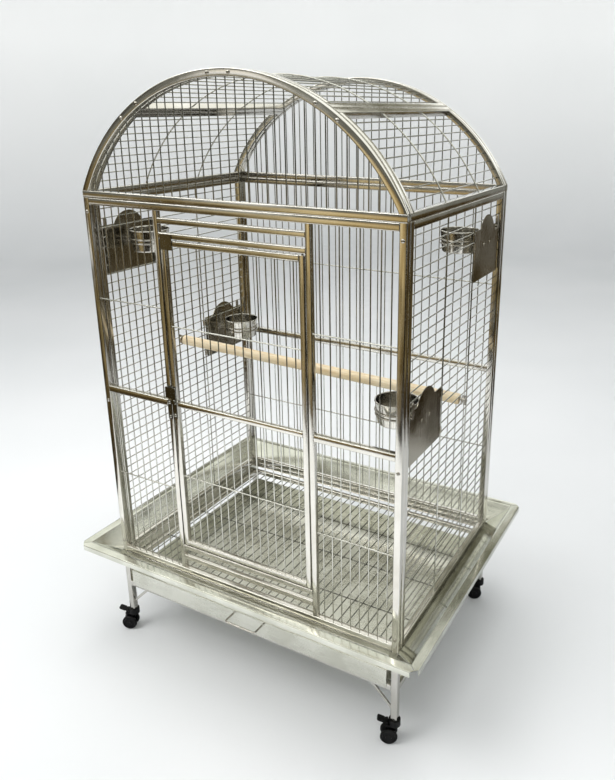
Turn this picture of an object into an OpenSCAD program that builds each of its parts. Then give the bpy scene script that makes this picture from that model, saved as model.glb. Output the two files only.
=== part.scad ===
// Dome top parrot cage on a castor stand.
// Millimetres, +Z up, the front faces -Y, the origin is on the floor under the middle of the cage.

/* [Cage body] */
// outside width of the cage body
cage_w = 1016; // [920:2:1110]
// outside depth of the cage body
cage_d = 740; // [690:2:820]
// height of the four wall panels
panel_h = 1167; // [1090:1:1250]
// floor to the underside of the wall panels
base_h = 312; // [296:1:330]
// side of the square frame tubes
tube = 20; // [18:0.5:22]
// side of the slimmer bars round the door
bar = 16; // [14:0.5:17]
// radius of the rounded tube edges
tube_r = 2.5; // [1.5:0.25:3.5]

/* [Wires] */
// diameter of the grille wires
wire_d = 3.5; // [2.8:0.1:4]
// diameter of the cross wires and hinge wires
cross_d = 4; // [3.4:0.1:4.6]
// spacing of the grille wires
wire_pitch = 28; // [26:0.5:30]

/* [Door] */
// clear width between the door jambs
door_open_w = 472; // [430:2:510]
// gap between the top rail and the transom bar
transom_gap = 19; // [14:1:26]
// gap between the transom bar and the door header
header_gap = 24; // [18:1:30]
// gap between the bottom rail and the lower sill bar
sill_gap = 31; // [24:1:38]
// gap between the two sill bars
sill_gap_2 = 21; // [16:1:28]
// running gap round the door
door_gap = 4; // [3.5:0.25:5]

/* [Dome] */
// rise of the dome over its base rail
dome_rise = 317; // [280:1:350]
// angle of the roof joints from the top of the dome
roof_split = 33; // [30:0.5:36]
// seam left between bolted panels
seam = 0.6; // [0.4:0.1:0.8]

/* [Feeders and perch] */
// width of a feeder door plate
feeder_w = 206; // [196:1:212]
// rise of the arched top of a feeder door plate
feeder_arch = 35; // [26:1:40]
// radius of the bowl at its rim
bowl_r = 61; // [56:0.5:63]
// height of the bowl
bowl_h = 66; // [56:1:72]
// diameter of the wooden perch
perch_d = 33; // [26:1:36]

/* [Base] */
// reach of the seed guards beyond the cage
guard_out = 94; // [80:1:110]
// rise of the seed guards
guard_rise = 48; // [38:1:58]
// width of the flat lip of a seed guard
guard_lip = 25; // [18:1:30]
// height of the tray front
tray_h = 56; // [46:1:62]
// underside of the wall panels down to the underside of the lower rails
rail_drop = 135; // [132:1:140]
// radius of the castor wheels
wheel_r = 25; // [22:0.5:26]

/* [Hidden] */
$fn = 48;
eps = 0.01;
fit = 0.05;
clear = 0.3;
// width of the weld seams between bars and wires
weld = 0.04;
sheet = 1.5;
z0 = base_h;
z1 = base_h + panel_h;
xo = cage_w / 2;
yo = cage_d / 2;
xi = xo - tube;
yi = yo - tube;
wall_x = xo - tube / 2;
wall_y = yo - tube / 2;
cross_off = (wire_d + cross_d) / 2 + weld;
mid_z = z0 + panel_h / 2;

jamb_i = door_open_w / 2;
jamb_o = jamb_i + bar;
header_z = z1 - tube - transom_gap - bar - header_gap - bar;
transom_z = z1 - tube - transom_gap - bar;
sill_b_z = z0 + tube + sill_gap;
sill_a_z = sill_b_z + bar + sill_gap_2;
door_x = jamb_i - door_gap;
door_z0 = sill_a_z + bar + door_gap;
door_z1 = header_z - door_gap;
pin_r = 3;
pin_x = door_x - bar / 2;
door_front = wall_y + bar / 2;

dome_z = z1 + tube;
dome_r = (xo * xo + dome_rise * dome_rise) / (2 * dome_rise);
dome_c = dome_z + dome_rise - dome_r;
dome_ri = dome_r - tube;
dome_rm = dome_r - tube / 2;
base_a = asin((dome_z - dome_c) / dome_rm);
split_a = 90 - roof_split;
tube_a = asin((tube / 2 + weld) / dome_ri);
seam_a = asin(seam / 2 / dome_rm);
edge_a = tube_a + seam_a;
roof_y = yi - seam;

side_y = yi - seam;
side_clear = 2 * (side_y - tube);
rows = floor((panel_h - 2 * tube) / wire_pitch);
row_low = floor(rows * 0.45);
row_high = floor(rows * 0.81);
row_span = 5;
hinge_y = side_clear / 2 - feeder_w - 20;
plate_y0 = hinge_y + 8;
plate_y1 = plate_y0 + feeder_w;
gate_y0 = plate_y0 + 6;
gate_y1 = plate_y1 - 6;
bowl_x = wall_x - 80;
bowl_y = (plate_y0 + plate_y1) / 2 - 1;
bowl_base = bowl_r - 9;
bowl_wall = 1.2;
hinge_x = wall_x + cross_off;

guard_slope = guard_out - guard_lip;
rail_bot = z0 - rail_drop;
rail_top = rail_bot + tube;
leg_bot = 80;
grate_top = z0 - tube - 5;
grate_bot = grate_top - bar;
tray_x = xi - 13;
tray_bot = rail_top + clear;
castor_yaw = 205;
trail = 16;
axle_z = wheel_r;

steel = [0.80, 0.79, 0.76];
wire_steel = [0.86, 0.86, 0.85];
sheet_steel = [0.70, 0.69, 0.65];
wood = [0.85, 0.68, 0.45];
black = [0.06, 0.06, 0.06];

// number and places of wires centred in a clear width
function wire_n(c) = floor(c / wire_pitch);
function wire_at(c, i) = (i - (wire_n(c) - 1) / 2) * wire_pitch;
// height of a side wall wire
function row_z(k) = mid_z + (k - (rows - 1) / 2) * wire_pitch;

// section of a square tube with rounded edges, centred
module tube_section(a, b) {
    square([a - 2 * tube_r, b], center = true);
    square([a, b - 2 * tube_r], center = true);
    for (i = [-1, 1], j = [-1, 1])
        translate([i * (a / 2 - tube_r), j * (b / 2 - tube_r)])
            circle(r = tube_r);
}

// upright tube from the height za to zb
module post(x, y, za, zb, s) {
    translate([x, y, za + weld])
        linear_extrude(height = zb - za - 2 * weld)
            tube_section(s, s);
}

// tube along X
module rail_x(xa, xb, y, z, s) {
    translate([xa + weld, y, z])
        rotate([90, 0, 90])
            linear_extrude(height = xb - xa - 2 * weld)
                tube_section(s, s);
}

// tube along Y
module rail_y(x, ya, yb, z, s) {
    translate([x, yb - weld, z])
        rotate([90, 0, 0])
            linear_extrude(height = yb - ya - 2 * weld)
                tube_section(s, s);
}

// straight round rods along the three axes, short of both ends by the seam g
module rod_x(xa, xb, y, z, d, g = weld) {
    translate([xa + g, y, z])
        rotate([0, 90, 0])
            cylinder(d = d, h = xb - xa - 2 * g, $fn = 24);
}

module rod_y(x, ya, yb, z, d, g = weld) {
    translate([x, ya + g, z])
        rotate([-90, 0, 0])
            cylinder(d = d, h = yb - ya - 2 * g, $fn = 24);
}

module rod_z(x, y, za, zb, d, g = weld) {
    translate([x, y, za + g])
        cylinder(d = d, h = zb - za - 2 * g, $fn = 24);
}

// bay of upright wires between two heights, with a cross wire outside it half way up
module upright_bay(xa, xb, y, out, za, zb) {
    c = xb - xa;
    for (i = [0 : wire_n(c) - 1])
        rod_z((xa + xb) / 2 + wire_at(c, i), y, za, zb, wire_d);
    rod_x(xa, xb, y + out * cross_off, (za + zb) / 2, cross_d);
}

// button head of a panel bolt, standing on the XY plane
module bolt_head() {
    rotate_extrude($fn = 32)
        polygon([[0, 0], [5, 0], [5, 1], [3.8, 2.4], [2, 3], [0, 3]]);
}

// Stand

module stand_legs() {
    color(steel)
        for (i = [-1, 1], j = [-1, 1])
            post(i * wall_x, j * wall_y, leg_bot, z0, tube);
}

module stand_rails() {
    color(steel)
        for (z = [z0 - tube / 2, rail_top - tube / 2]) {
            for (j = [-1, 1])
                rail_x(-xi, xi, j * wall_y, z, tube);
            for (i = [-1, 1])
                rail_y(i * wall_x, -yi, yi, z, tube);
        }
}

// flat diagonal straps with parallel edges, each ending a set height above the foot of its leg
brace_run = 72;
brace_w = 12;
brace_t = 5;
brace_lift = 25;

module leg_braces() {
    drop = rail_bot - leg_bot - brace_lift;
    flat = brace_w * brace_run / drop;
    color(steel)
        for (i = [0, 1], j = [-1, 1])
            mirror([i, 0, 0])
                translate([0, j * wall_y + brace_t / 2, 0])
                    rotate([90, 0, 0])
                        linear_extrude(height = brace_t)
                            polygon([
                                [xi - brace_run, rail_bot], [xi - brace_run + flat, rail_bot],
                                [xi, rail_bot - drop + brace_w], [xi, rail_bot - drop]
                            ]);
}

// angle runners that carry the grate and the tray
module slide_runners() {
    len = 2 * yi - 2;
    lip = 20;
    color(sheet_steel)
        for (i = [0, 1])
            mirror([i, 0, 0]) {
                translate([xi, len / 2, 0])
                    rotate([90, 0, 0])
                        linear_extrude(height = len)
                            polygon([
                                [0, z0 - 3], [-sheet, z0 - 3], [-sheet, grate_bot - clear],
                                [-lip, grate_bot - clear], [-lip, grate_bot - clear - sheet],
                                [0, grate_bot - clear - sheet]
                            ]);
                translate([xi, len / 2, 0])
                    rotate([90, 0, 0])
                        linear_extrude(height = len)
                            polygon([
                                [0, rail_top], [-lip - 12, rail_top], [-lip - 12, rail_top - sheet],
                                [-sheet, rail_top - sheet], [-sheet, rail_bot + 3], [0, rail_bot + 3]
                            ]);
            }
}

// section of a seed guard: flange, slope, flat lip and turned down edge
module guard_section() {
    t = sheet;
    fold = 18;
    polygon([
        [0, -tube + 2], [t, -tube + 2], [t, 0], [guard_slope + t * 0.45, guard_rise - t],
        [guard_out - t, guard_rise - t], [guard_out - t, guard_rise - fold],
        [guard_out, guard_rise - fold], [guard_out, guard_rise],
        [guard_slope - t * 0.25, guard_rise], [0, t * 0.6]
    ]);
}

// one seed guard along X, its face on the plane y = 0, with mitred ends
module guard(half) {
    gap = 1;
    far = guard_out + 5;
    intersection() {
        translate([-half - far, 0, z0])
            rotate([90, 0, 90])
                linear_extrude(height = 2 * (half + far))
                    guard_section();
        translate([0, 0, z0 - 2 * tube])
            linear_extrude(height = 4 * tube + guard_rise)
                polygon([
                    [-half + gap, -1], [half - gap, -1],
                    [half - gap + far + 1, far], [-half + gap - far - 1, far]
                ]);
    }
}

module seed_guard_front() {
    color(sheet_steel)
        translate([0, -yo, 0])
            rotate([0, 0, 180])
                guard(xo);
}

module seed_guard_back() {
    color(sheet_steel)
        translate([0, yo, 0])
            guard(xo);
}

module seed_guard_left() {
    color(sheet_steel)
        translate([-xo, 0, 0])
            rotate([0, 0, 90])
                guard(yo);
}

module seed_guard_right() {
    color(sheet_steel)
        translate([xo, 0, 0])
            rotate([0, 0, -90])
                guard(yo);
}

// Wall panels

module front_panel() {
    y = -wall_y;
    color(steel) {
        for (i = [-1, 1])
            post(i * wall_x, y, z0, z1, tube);
        for (z = [z0 + tube / 2, z1 - tube / 2])
            rail_x(-xi, xi, y, z, tube);
        for (i = [-1, 1])
            post(i * (jamb_i + bar / 2), y, z0 + tube, z1 - tube, bar);
        for (z = [transom_z, header_z, sill_a_z, sill_b_z])
            rail_x(-jamb_i, jamb_i, y, z + bar / 2, bar);
        rail_x(-xi, -jamb_o, y, mid_z, tube);
        rail_x(jamb_o, xi, y, mid_z, tube);
    }
    color(wire_steel)
        for (i = [0, 1])
            mirror([i, 0, 0]) {
                upright_bay(jamb_o, xi, y, -1, z0 + tube, mid_z - tube / 2);
                upright_bay(jamb_o, xi, y, -1, mid_z + tube / 2, z1 - tube);
            }
}

module back_panel() {
    y = wall_y;
    color(steel) {
        for (i = [-1, 1])
            post(i * wall_x, y, z0, z1, tube);
        for (z = [z0 + tube / 2, mid_z, z1 - tube / 2])
            rail_x(-xi, xi, y, z, tube);
    }
    color(wire_steel) {
        upright_bay(-xi, xi, y, 1, z0 + tube, mid_z - tube / 2);
        upright_bay(-xi, xi, y, 1, mid_z + tube / 2, z1 - tube);
    }
}

// true where a side wall wire runs through a feeder gate that starts at the row k
function in_gate(r, k) = r > k && r < k + row_span;

// right wall: the gate at the back is high, the gate at the front is low
module side_panel() {
    ye = side_y - tube;
    color(steel) {
        for (j = [-1, 1])
            post(wall_x, j * (side_y - tube / 2), z0, z1, tube);
        for (z = [z0 + tube / 2, z1 - tube / 2])
            rail_y(wall_x, -ye, ye, z, tube);
    }
    color(wire_steel) {
        for (r = [0 : rows - 1]) {
            if (in_gate(r, row_high)) {
                rod_y(wall_x, -ye, gate_y0 - cross_d / 2, row_z(r), wire_d);
                rod_y(wall_x, gate_y1 + cross_d / 2, ye, row_z(r), wire_d);
            } else if (in_gate(r, row_low)) {
                rod_y(wall_x, -ye, -gate_y1 - cross_d / 2, row_z(r), wire_d);
                rod_y(wall_x, -gate_y0 + cross_d / 2, ye, row_z(r), wire_d);
            } else {
                rod_y(wall_x, -ye, ye, row_z(r), wire_d);
            }
        }
        for (j = [-1, 1])
            rod_z(hinge_x, j * hinge_y, z0 + tube, z1 - tube, cross_d);
        for (y = [gate_y0, gate_y1]) {
            rod_z(wall_x, y, row_z(row_high) + wire_d / 2, row_z(row_high + row_span) - wire_d / 2, cross_d);
            rod_z(wall_x, -y, row_z(row_low) + wire_d / 2, row_z(row_low + row_span) - wire_d / 2, cross_d);
        }
    }
}

module right_panel() {
    side_panel();
}

module left_panel() {
    rotate([0, 0, 180])
        side_panel();
}

// Dome

// curved tube of the dome between two angles, its back face on the plane y = 0,
// with its edges eased in three flats so that it can be cut off level at its feet
module arc_tube(a0, a1) {
    rotate([90, 0, 0])
        rotate([0, 0, a0])
            rotate_extrude(angle = a1 - a0, $fn = 96)
                translate([dome_rm, tube / 2])
                    tube_section(tube, tube, $fn = 12);
}

// curved cross wire of the roof
module arc_wire(y, a0, a1) {
    translate([0, y, dome_c])
        rotate([90, 0, 0])
            rotate([0, 0, a0])
                rotate_extrude(angle = a1 - a0, $fn = 96)
                    translate([dome_rm + cross_off, 0])
                        circle(d = cross_d, $fn = 24);
}

module above_base() {
    translate([-xo - 20, -yo - 20, dome_z + weld])
        cube([2 * xo + 40, 2 * yo + 40, dome_rise + 40]);
}

// front end of the dome: base rail, arch tube and upright wires trimmed to the arch
module dome_end() {
    y = -wall_y;
    c = 2 * sqrt(dome_ri * dome_ri - pow(dome_z - dome_c, 2));
    color(steel) {
        rail_x(-xo, xo, y, z1 + tube / 2, tube);
        intersection() {
            translate([0, -yi, dome_c])
                arc_tube(0, 180);
            above_base();
        }
    }
    color(wire_steel)
        for (i = [0 : wire_n(c) - 1])
            intersection() {
                rod_z(wire_at(c, i), y, dome_z, dome_z + dome_rise, wire_d);
                translate([0, 0, dome_c])
                    rotate([90, 0, 0])
                        cylinder(r = dome_ri - weld, h = 4 * yo, center = true, $fn = 180);
            }
}

module dome_front() {
    dome_end();
}

module dome_back() {
    mirror([0, 1, 0])
        dome_end();
}

// straight tube of the roof at an angle of the dome
module roof_rail(a) {
    translate([0, 0, dome_c])
        rotate([0, -a, 0])
            rail_y(dome_rm, -roof_y, roof_y, 0, tube);
}

// wires along the roof between two angles
module roof_wires(a0, a1) {
    arc = (a1 - a0) * PI / 180 * dome_rm;
    for (i = [0 : wire_n(arc) - 1]) {
        a = (a0 + a1) / 2 + wire_at(arc, i) / dome_rm * 180 / PI;
        rod_y(dome_rm * cos(a), -roof_y + tube, roof_y - tube, dome_c + dome_rm * sin(a), wire_d);
    }
}

module roof_right() {
    a1 = split_a - edge_a;
    top = a1 - tube_a;
    color(steel) {
        rail_y(wall_x, -roof_y, roof_y, z1 + tube / 2, tube);
        roof_rail(a1);
        for (j = [0, 1])
            mirror([0, j, 0])
                intersection() {
                    translate([0, -roof_y + tube, dome_c])
                        arc_tube(5, top);
                    above_base();
                }
    }
    color(wire_steel) {
        roof_wires(base_a, top);
        for (y = [-1, 1])
            intersection() {
                arc_wire(y * cage_d / 6, 5, top);
                above_base();
            }
    }
}

module roof_left() {
    mirror([1, 0, 0])
        roof_right();
}

module roof_top() {
    a1 = split_a + edge_a;
    low = a1 + tube_a;
    color(steel) {
        roof_rail(a1);
        roof_rail(180 - a1);
        for (j = [0, 1])
            mirror([0, j, 0])
                translate([0, -roof_y + tube, dome_c])
                    arc_tube(low, 180 - low);
    }
    color(wire_steel) {
        roof_wires(low, 180 - low);
        for (y = [-1, 1])
            arc_wire(y * cage_d / 6, low, 180 - low);
    }
}

// heads of the bolts that hold the panels together
module panel_bolts() {
    color(steel)
        for (j = [0, 1], i = [0, 1])
            mirror([0, j, 0])
                mirror([i, 0, 0]) {
                    for (z = [z0 + 40, mid_z - 40, z1 - 40])
                        translate([wall_x, -yo, z])
                            rotate([90, 0, 0])
                                bolt_head();
                    for (a = [3.3, roof_split - 3.5, roof_split + 3.5])
                        translate([dome_rm * sin(a), -yo, dome_c + dome_rm * cos(a)])
                            rotate([90, 0, 0])
                                bolt_head();
                }
}

// Perch

perch_za = row_z(row_low + 3) + wire_pitch / 2;
perch_zb = row_z(row_low + 1) + wire_pitch / 2;
perch_ya = -12;
perch_yb = 66;
perch_dx = 2 * wall_x;
perch_dy = perch_yb - perch_ya;
perch_dz = perch_zb - perch_za;
perch_yaw = atan2(perch_dy, perch_dx);
perch_tilt = atan2(-perch_dz, sqrt(perch_dx * perch_dx + perch_dy * perch_dy));
perch_span = sqrt(perch_dx * perch_dx + perch_dy * perch_dy + perch_dz * perch_dz);
perch_end = wire_d / 2 + 2.4;

// along the perch, from its left fixing in the wall to its right fixing
module on_perch() {
    translate([-wall_x, perch_ya, perch_za])
        rotate([0, 0, perch_yaw])
            rotate([0, perch_tilt, 0])
                rotate([0, 90, 0])
                    children();
}

module perch() {
    color(wood)
        on_perch()
            translate([0, 0, perch_end])
                rotate_extrude($fn = 48)
                    polygon([
                        [0, 0], [perch_d / 2 - 2, 0], [perch_d / 2, 2],
                        [perch_d / 2, perch_span - 2 * perch_end - 2],
                        [perch_d / 2 - 2, perch_span - 2 * perch_end], [0, perch_span - 2 * perch_end]
                    ]);
}

// stud, washer and wing nut at one end, outside the wall towards -Z
module perch_fixing() {
    seat = wire_d / 2 + 1.8;
    stud_r = 3;
    translate([0, 0, -seat - 16])
        cylinder(r = stud_r, h = seat + 16 + perch_end);
    translate([0, 0, -seat - 2])
        difference() {
            cylinder(r = 15, h = 2);
            translate([0, 0, -1])
                cylinder(r = stud_r + fit, h = 4);
        }
    difference() {
        union() {
            translate([0, 0, -seat - 10])
                cylinder(r1 = 5, r2 = 7, h = 8 - weld);
            for (a = [0, 180])
                rotate([0, 0, a])
                    translate([4, -1.25, -seat - 15])
                        cube([11, 2.5, 10]);
        }
        translate([0, 0, -seat - 20])
            cylinder(r = stud_r + fit, h = 30);
    }
}

module perch_fixings() {
    color(steel)
        on_perch() {
            perch_fixing();
            translate([0, 0, perch_span])
                rotate([180, 0, 0])
                    perch_fixing();
        }
}

// Door

module door_pins() {
    color(steel) {
        rod_z(pin_x, -wall_y, door_z1 - 14, header_z, 2 * pin_r);
        rod_z(pin_x, -wall_y, sill_a_z + bar, door_z0 + 14, 2 * pin_r);
    }
}

module door_panel() {
    y = -wall_y;
    xe = door_x - bar;
    color(steel) {
        post(-door_x + bar / 2, y, door_z0, door_z1, bar);
        difference() {
            post(pin_x, y, door_z0, door_z1, bar);
            for (z = [door_z0 - 15, door_z1 - 15])
                translate([pin_x, y, z])
                    cylinder(r = pin_r + fit, h = 30);
        }
        for (z = [door_z0 + bar / 2, mid_z, door_z1 - bar / 2])
            rail_x(-xe, xe, y, z, bar);
    }
    color(wire_steel) {
        upright_bay(-xe, xe, y, -1, door_z0 + bar, mid_z - bar / 2);
        upright_bay(-xe, xe, y, -1, mid_z + bar / 2, door_z1 - bar);
    }
}

// stop plate on the top corner of the door, its upper edge in front of the header
module door_stop() {
    color(sheet_steel)
        translate([-door_x + 3, -door_front, 0]) {
            translate([0, -2, door_z1 - 26])
                cube([40, 2, 26]);
            translate([0, -2, door_z1 - eps])
                cube([40, 2 - clear, door_gap + bar - 2]);
        }
}

latch_x = -door_x + bar / 2;
latch_z = mid_z + 8;

// latch plate on the door stile with its pivot stud and cap
module latch_base() {
    color(sheet_steel)
        translate([latch_x, -door_front, latch_z]) {
            translate([-bar / 2 + 1, -2.5, -52])
                cube([bar - 2, 2.5, 62]);
            rotate([90, 0, 0]) {
                cylinder(r = 4, h = 8);
                translate([0, 0, 6.8])
                    cylinder(r = 7, h = 2);
            }
            translate([0, -2.5, -42])
                rotate([90, 0, 0])
                    bolt_head();
        }
}

// thumb lever that turns on the pivot stud
module latch_lever() {
    color(steel)
        translate([latch_x, -door_front - 3, latch_z])
            rotate([90, 0, 0])
                difference() {
                    linear_extrude(height = 3.5)
                        union() {
                            circle(r = 8);
                            translate([-8, 0])
                                square([16, 14]);
                            translate([-10, 28])
                                tube_section(38, 34);
                        }
                    translate([0, 0, -1])
                        cylinder(r = 4 + fit, h = 6);
                }
}

// strike plate and screws on the left jamb
module latch_keeper() {
    low = -50;
    high = 10;
    color(sheet_steel)
        translate([-jamb_i - bar / 2, -door_front, mid_z]) {
            translate([-bar / 2 + 1, -2.5, low])
                cube([bar - 2, 2.5, high - low]);
            for (z = [low + 8, high - 7])
                translate([0, -2.5, z])
                    rotate([90, 0, 0])
                        bolt_head();
        }
}

// Tray and grate

module tray() {
    yf = -yo - clear;
    yb = yi - 6;
    top = tray_bot - 11 + tray_h;
    color(sheet_steel)
        union() {
            difference() {
                translate([-tray_x, yf - sheet, tray_bot])
                    cube([2 * tray_x, yb - yf + sheet, top - tray_bot]);
                translate([-tray_x + sheet, yf, tray_bot + sheet])
                    cube([2 * (tray_x - sheet), yb - yf - sheet, tray_h]);
            }
            translate([-tray_x, yf - sheet, tray_bot - 11])
                cube([2 * tray_x, sheet, tray_h]);
        }
}

handle_d = 6;
handle_w = 110;
handle_out = 38;

module tray_handle() {
    face = yo + clear + sheet;
    bend = 8;
    z = tray_bot + tray_h / 2 + 2;
    color(steel)
        translate([0, -face, z])
            rotate([180, 0, 0]) {
                for (i = [-1, 1])
                    rod_y(i * handle_w / 2, 0, handle_out - bend, 0, handle_d, 0);
                rod_x(-handle_w / 2 + bend, handle_w / 2 - bend, handle_out, 0, handle_d, 0);
                for (i = [0, 1])
                    mirror([i, 0, 0])
                        translate([handle_w / 2 - bend, handle_out - bend, 0])
                            rotate_extrude(angle = 90, $fn = 48)
                                translate([bend, 0])
                                    circle(d = handle_d, $fn = 24);
            }
}

module grate() {
    gx = xi - sheet - 2;
    ya = -yo + 1;
    yb = yi - 4;
    z = grate_top - bar / 2;
    c = 2 * (gx - bar);
    color(steel) {
        for (i = [-1, 1])
            rail_y(i * (gx - bar / 2), ya, yb, z, bar);
        for (y = [ya + bar / 2, yb - bar / 2])
            rail_x(-gx + bar, gx - bar, y, z, bar);
    }
    color(wire_steel) {
        for (i = [0 : wire_n(c) - 1])
            rod_y(wire_at(c, i), ya + bar, yb - bar, z + 1, wire_d);
        for (k = [1 : 3])
            rod_x(-gx + bar, gx - bar, ya + (yb - ya) * k / 4, z + 1 - cross_off, cross_d);
    }
}

// Feeders, drawn for the right wall towards the back and mirrored for the others

module at_feeder(side, end) {
    mirror([side < 0 ? 1 : 0, 0, 0])
        mirror([0, end < 0 ? 1 : 0, 0])
            children();
}

// lowest row of a gate
function gate_row(high) = high ? row_high : row_low;
function gate_z(high) = row_z(gate_row(high));
function rim_z(high) = gate_z(high) + row_span * wire_pitch - 10;
// outside radius of the bowl at a depth under its rim
function bowl_at(h) = bowl_base + (bowl_r - 2 - bowl_base) * (bowl_h - h - 3) / (bowl_h - 7);

latch_pin_r = 3;
latch_y = plate_y1 - 14;
latch_drop = 12;
plate_rise = row_span * wire_pitch + 5.5;

module feeder_plate(zb) {
    low = zb - 4;
    top = zb + plate_rise;
    half = 58;
    r = (half * half + feeder_arch * feeder_arch) / (2 * feeder_arch);
    translate([hinge_x - sheet / 2, 0, 0])
        rotate([90, 0, 90])
            linear_extrude(height = sheet)
                difference() {
                    union() {
                        translate([plate_y0, low])
                            square([plate_y1 - plate_y0, top - low]);
                        intersection() {
                            translate([bowl_y, top + feeder_arch - r])
                                circle(r = r, $fn = 96);
                            translate([bowl_y - half, top - eps])
                                square([2 * half, feeder_arch + 1]);
                        }
                    }
                    translate([latch_y, top - latch_drop])
                        circle(r = latch_pin_r + fit);
                }
}

// curled knuckle round the hinge wire with its strap to the plate
knuckle_wall = 1.4;
knuckle_play = 5;

module feeder_knuckle(z) {
    h = wire_pitch - wire_d - knuckle_play;
    r = cross_d / 2 + fit;
    translate([hinge_x, hinge_y, z - h / 2])
        difference() {
            union() {
                cylinder(r = r + knuckle_wall, h = h);
                translate([-sheet / 2, 0, 0])
                    cube([sheet, plate_y0 - hinge_y + 0.5, h]);
            }
            translate([0, 0, -1])
                cylinder(r = r, h = h + 2);
        }
}

ring_arm = 26;
ring_drops = [28, 40];
plate_in = hinge_x - sheet / 2 - weld;

// wire ring round the bowl with its two arms
module ring_wire(rim, drop) {
    r = bowl_at(drop) + clear + cross_d / 2;
    translate([bowl_x, bowl_y, rim - drop]) {
        rotate_extrude($fn = 72)
            translate([r, 0])
                circle(d = cross_d, $fn = 24);
        for (j = [-1, 1])
            rod_x(sqrt(r * r - ring_arm * ring_arm), plate_in - bowl_x - 1, j * ring_arm, 0, cross_d);
    }
}

// bowl holder: two rings on a pair of straps against the plate
module bowl_ring(high) {
    rim = rim_z(high);
    color(steel)
        union() {
            for (h = ring_drops)
                ring_wire(rim, h);
            for (j = [-1, 1])
                translate([plate_in - sheet, bowl_y + j * ring_arm - 6, rim - 46])
                    cube([sheet, 12, 24]);
        }
}

// dome headed rivets through the plate into the straps of the rings
rivet_r = 4.5;
rivet_h = 1.6;
rivet_drop = (ring_drops[0] + ring_drops[1]) / 2;

module feeder_door(high) {
    zb = gate_z(high);
    rim = rim_z(high);
    color(sheet_steel)
        union() {
            feeder_plate(zb);
            for (k = [0.5, row_span - 0.5])
                feeder_knuckle(zb + k * wire_pitch);
            for (j = [-1, 1])
                translate([hinge_x + sheet / 2 - eps, bowl_y + j * ring_arm, rim - rivet_drop])
                    rotate([0, 90, 0])
                        cylinder(r1 = rivet_r, r2 = rivet_r * 2 / 3, h = rivet_h);
        }
}

// thumb turn of a feeder door: button and lever outside, pin and washer inside
module feeder_latch(high) {
    z = gate_z(high) + plate_rise - latch_drop;
    face = hinge_x + sheet / 2 + clear;
    color(black)
        translate([0, latch_y, z])
            rotate([90, 0, 90]) {
                translate([0, 0, face])
                    linear_extrude(height = 3)
                        union() {
                            circle(r = 9);
                            translate([-6, 0])
                                square([12, 30]);
                            translate([0, 30])
                                circle(r = 6);
                        }
                translate([0, 0, hinge_x - sheet / 2 - clear - 1.2])
                    cylinder(r = latch_pin_r, h = sheet + 2 * clear + 1.5);
                translate([0, 0, hinge_x - sheet / 2 - clear - 1.2])
                    cylinder(r = 5, h = 1.2);
            }
}

module bowl(high) {
    h = bowl_h;
    w = bowl_wall;
    color(steel)
        translate([bowl_x, bowl_y, rim_z(high) - h])
            rotate_extrude($fn = 72)
                polygon([
                    [0, 0], [bowl_base - 3, 0], [bowl_base, 3], [bowl_r - 2, h - 4],
                    [bowl_r, h - 4], [bowl_r, h - 1], [bowl_r - 1, h],
                    [bowl_r - 2 - w, h], [bowl_r - 2 - w, h - 4],
                    [bowl_base - w, 3 + w], [bowl_base - 3 - w, w + 0.5], [0, w]
                ]);
}

module feeder_door_left_front() { at_feeder(-1, -1) feeder_door(true); }
module feeder_door_left_back() { at_feeder(-1, 1) feeder_door(false); }
module feeder_door_right_front() { at_feeder(1, -1) feeder_door(false); }
module feeder_door_right_back() { at_feeder(1, 1) feeder_door(true); }
module feeder_latch_left_front() { at_feeder(-1, -1) feeder_latch(true); }
module feeder_latch_left_back() { at_feeder(-1, 1) feeder_latch(false); }
module feeder_latch_right_front() { at_feeder(1, -1) feeder_latch(false); }
module feeder_latch_right_back() { at_feeder(1, 1) feeder_latch(true); }
module bowl_ring_left_front() { at_feeder(-1, -1) bowl_ring(true); }
module bowl_ring_left_back() { at_feeder(-1, 1) bowl_ring(false); }
module bowl_ring_right_front() { at_feeder(1, -1) bowl_ring(false); }
module bowl_ring_right_back() { at_feeder(1, 1) bowl_ring(true); }
module bowl_left_front() { at_feeder(-1, -1) bowl(true); }
module bowl_left_back() { at_feeder(-1, 1) bowl(false); }
module bowl_right_front() { at_feeder(1, -1) bowl(false); }
module bowl_right_back() { at_feeder(1, 1) bowl(true); }

// Castors, drawn at the foot of a leg with the wheels trailing along +X

module at_castor(i, j) {
    translate([i * wall_x, j * wall_y, 0])
        rotate([0, 0, castor_yaw])
            children();
}

stem_r = 5;
wheel_w = 10;
wheel_gap = 17;
axle_r = 4;
head_r = 17;
fork_top = leg_bot - 3 - clear;
fork_deck = fork_top - 14;
pedal_x = head_r + 5;
pedal_z = fork_deck + 5;
deck_x = pedal_x + 6;

module castor_stems() {
    color(steel)
        for (i = [-1, 1], j = [-1, 1])
            translate([i * wall_x, j * wall_y, 0]) {
                translate([0, 0, leg_bot - 3])
                    cylinder(r = 10, h = 3);
                translate([0, 0, fork_deck + 1])
                    cylinder(r = stem_r, h = leg_bot - 3 - fork_deck - 1);
            }
}

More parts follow.
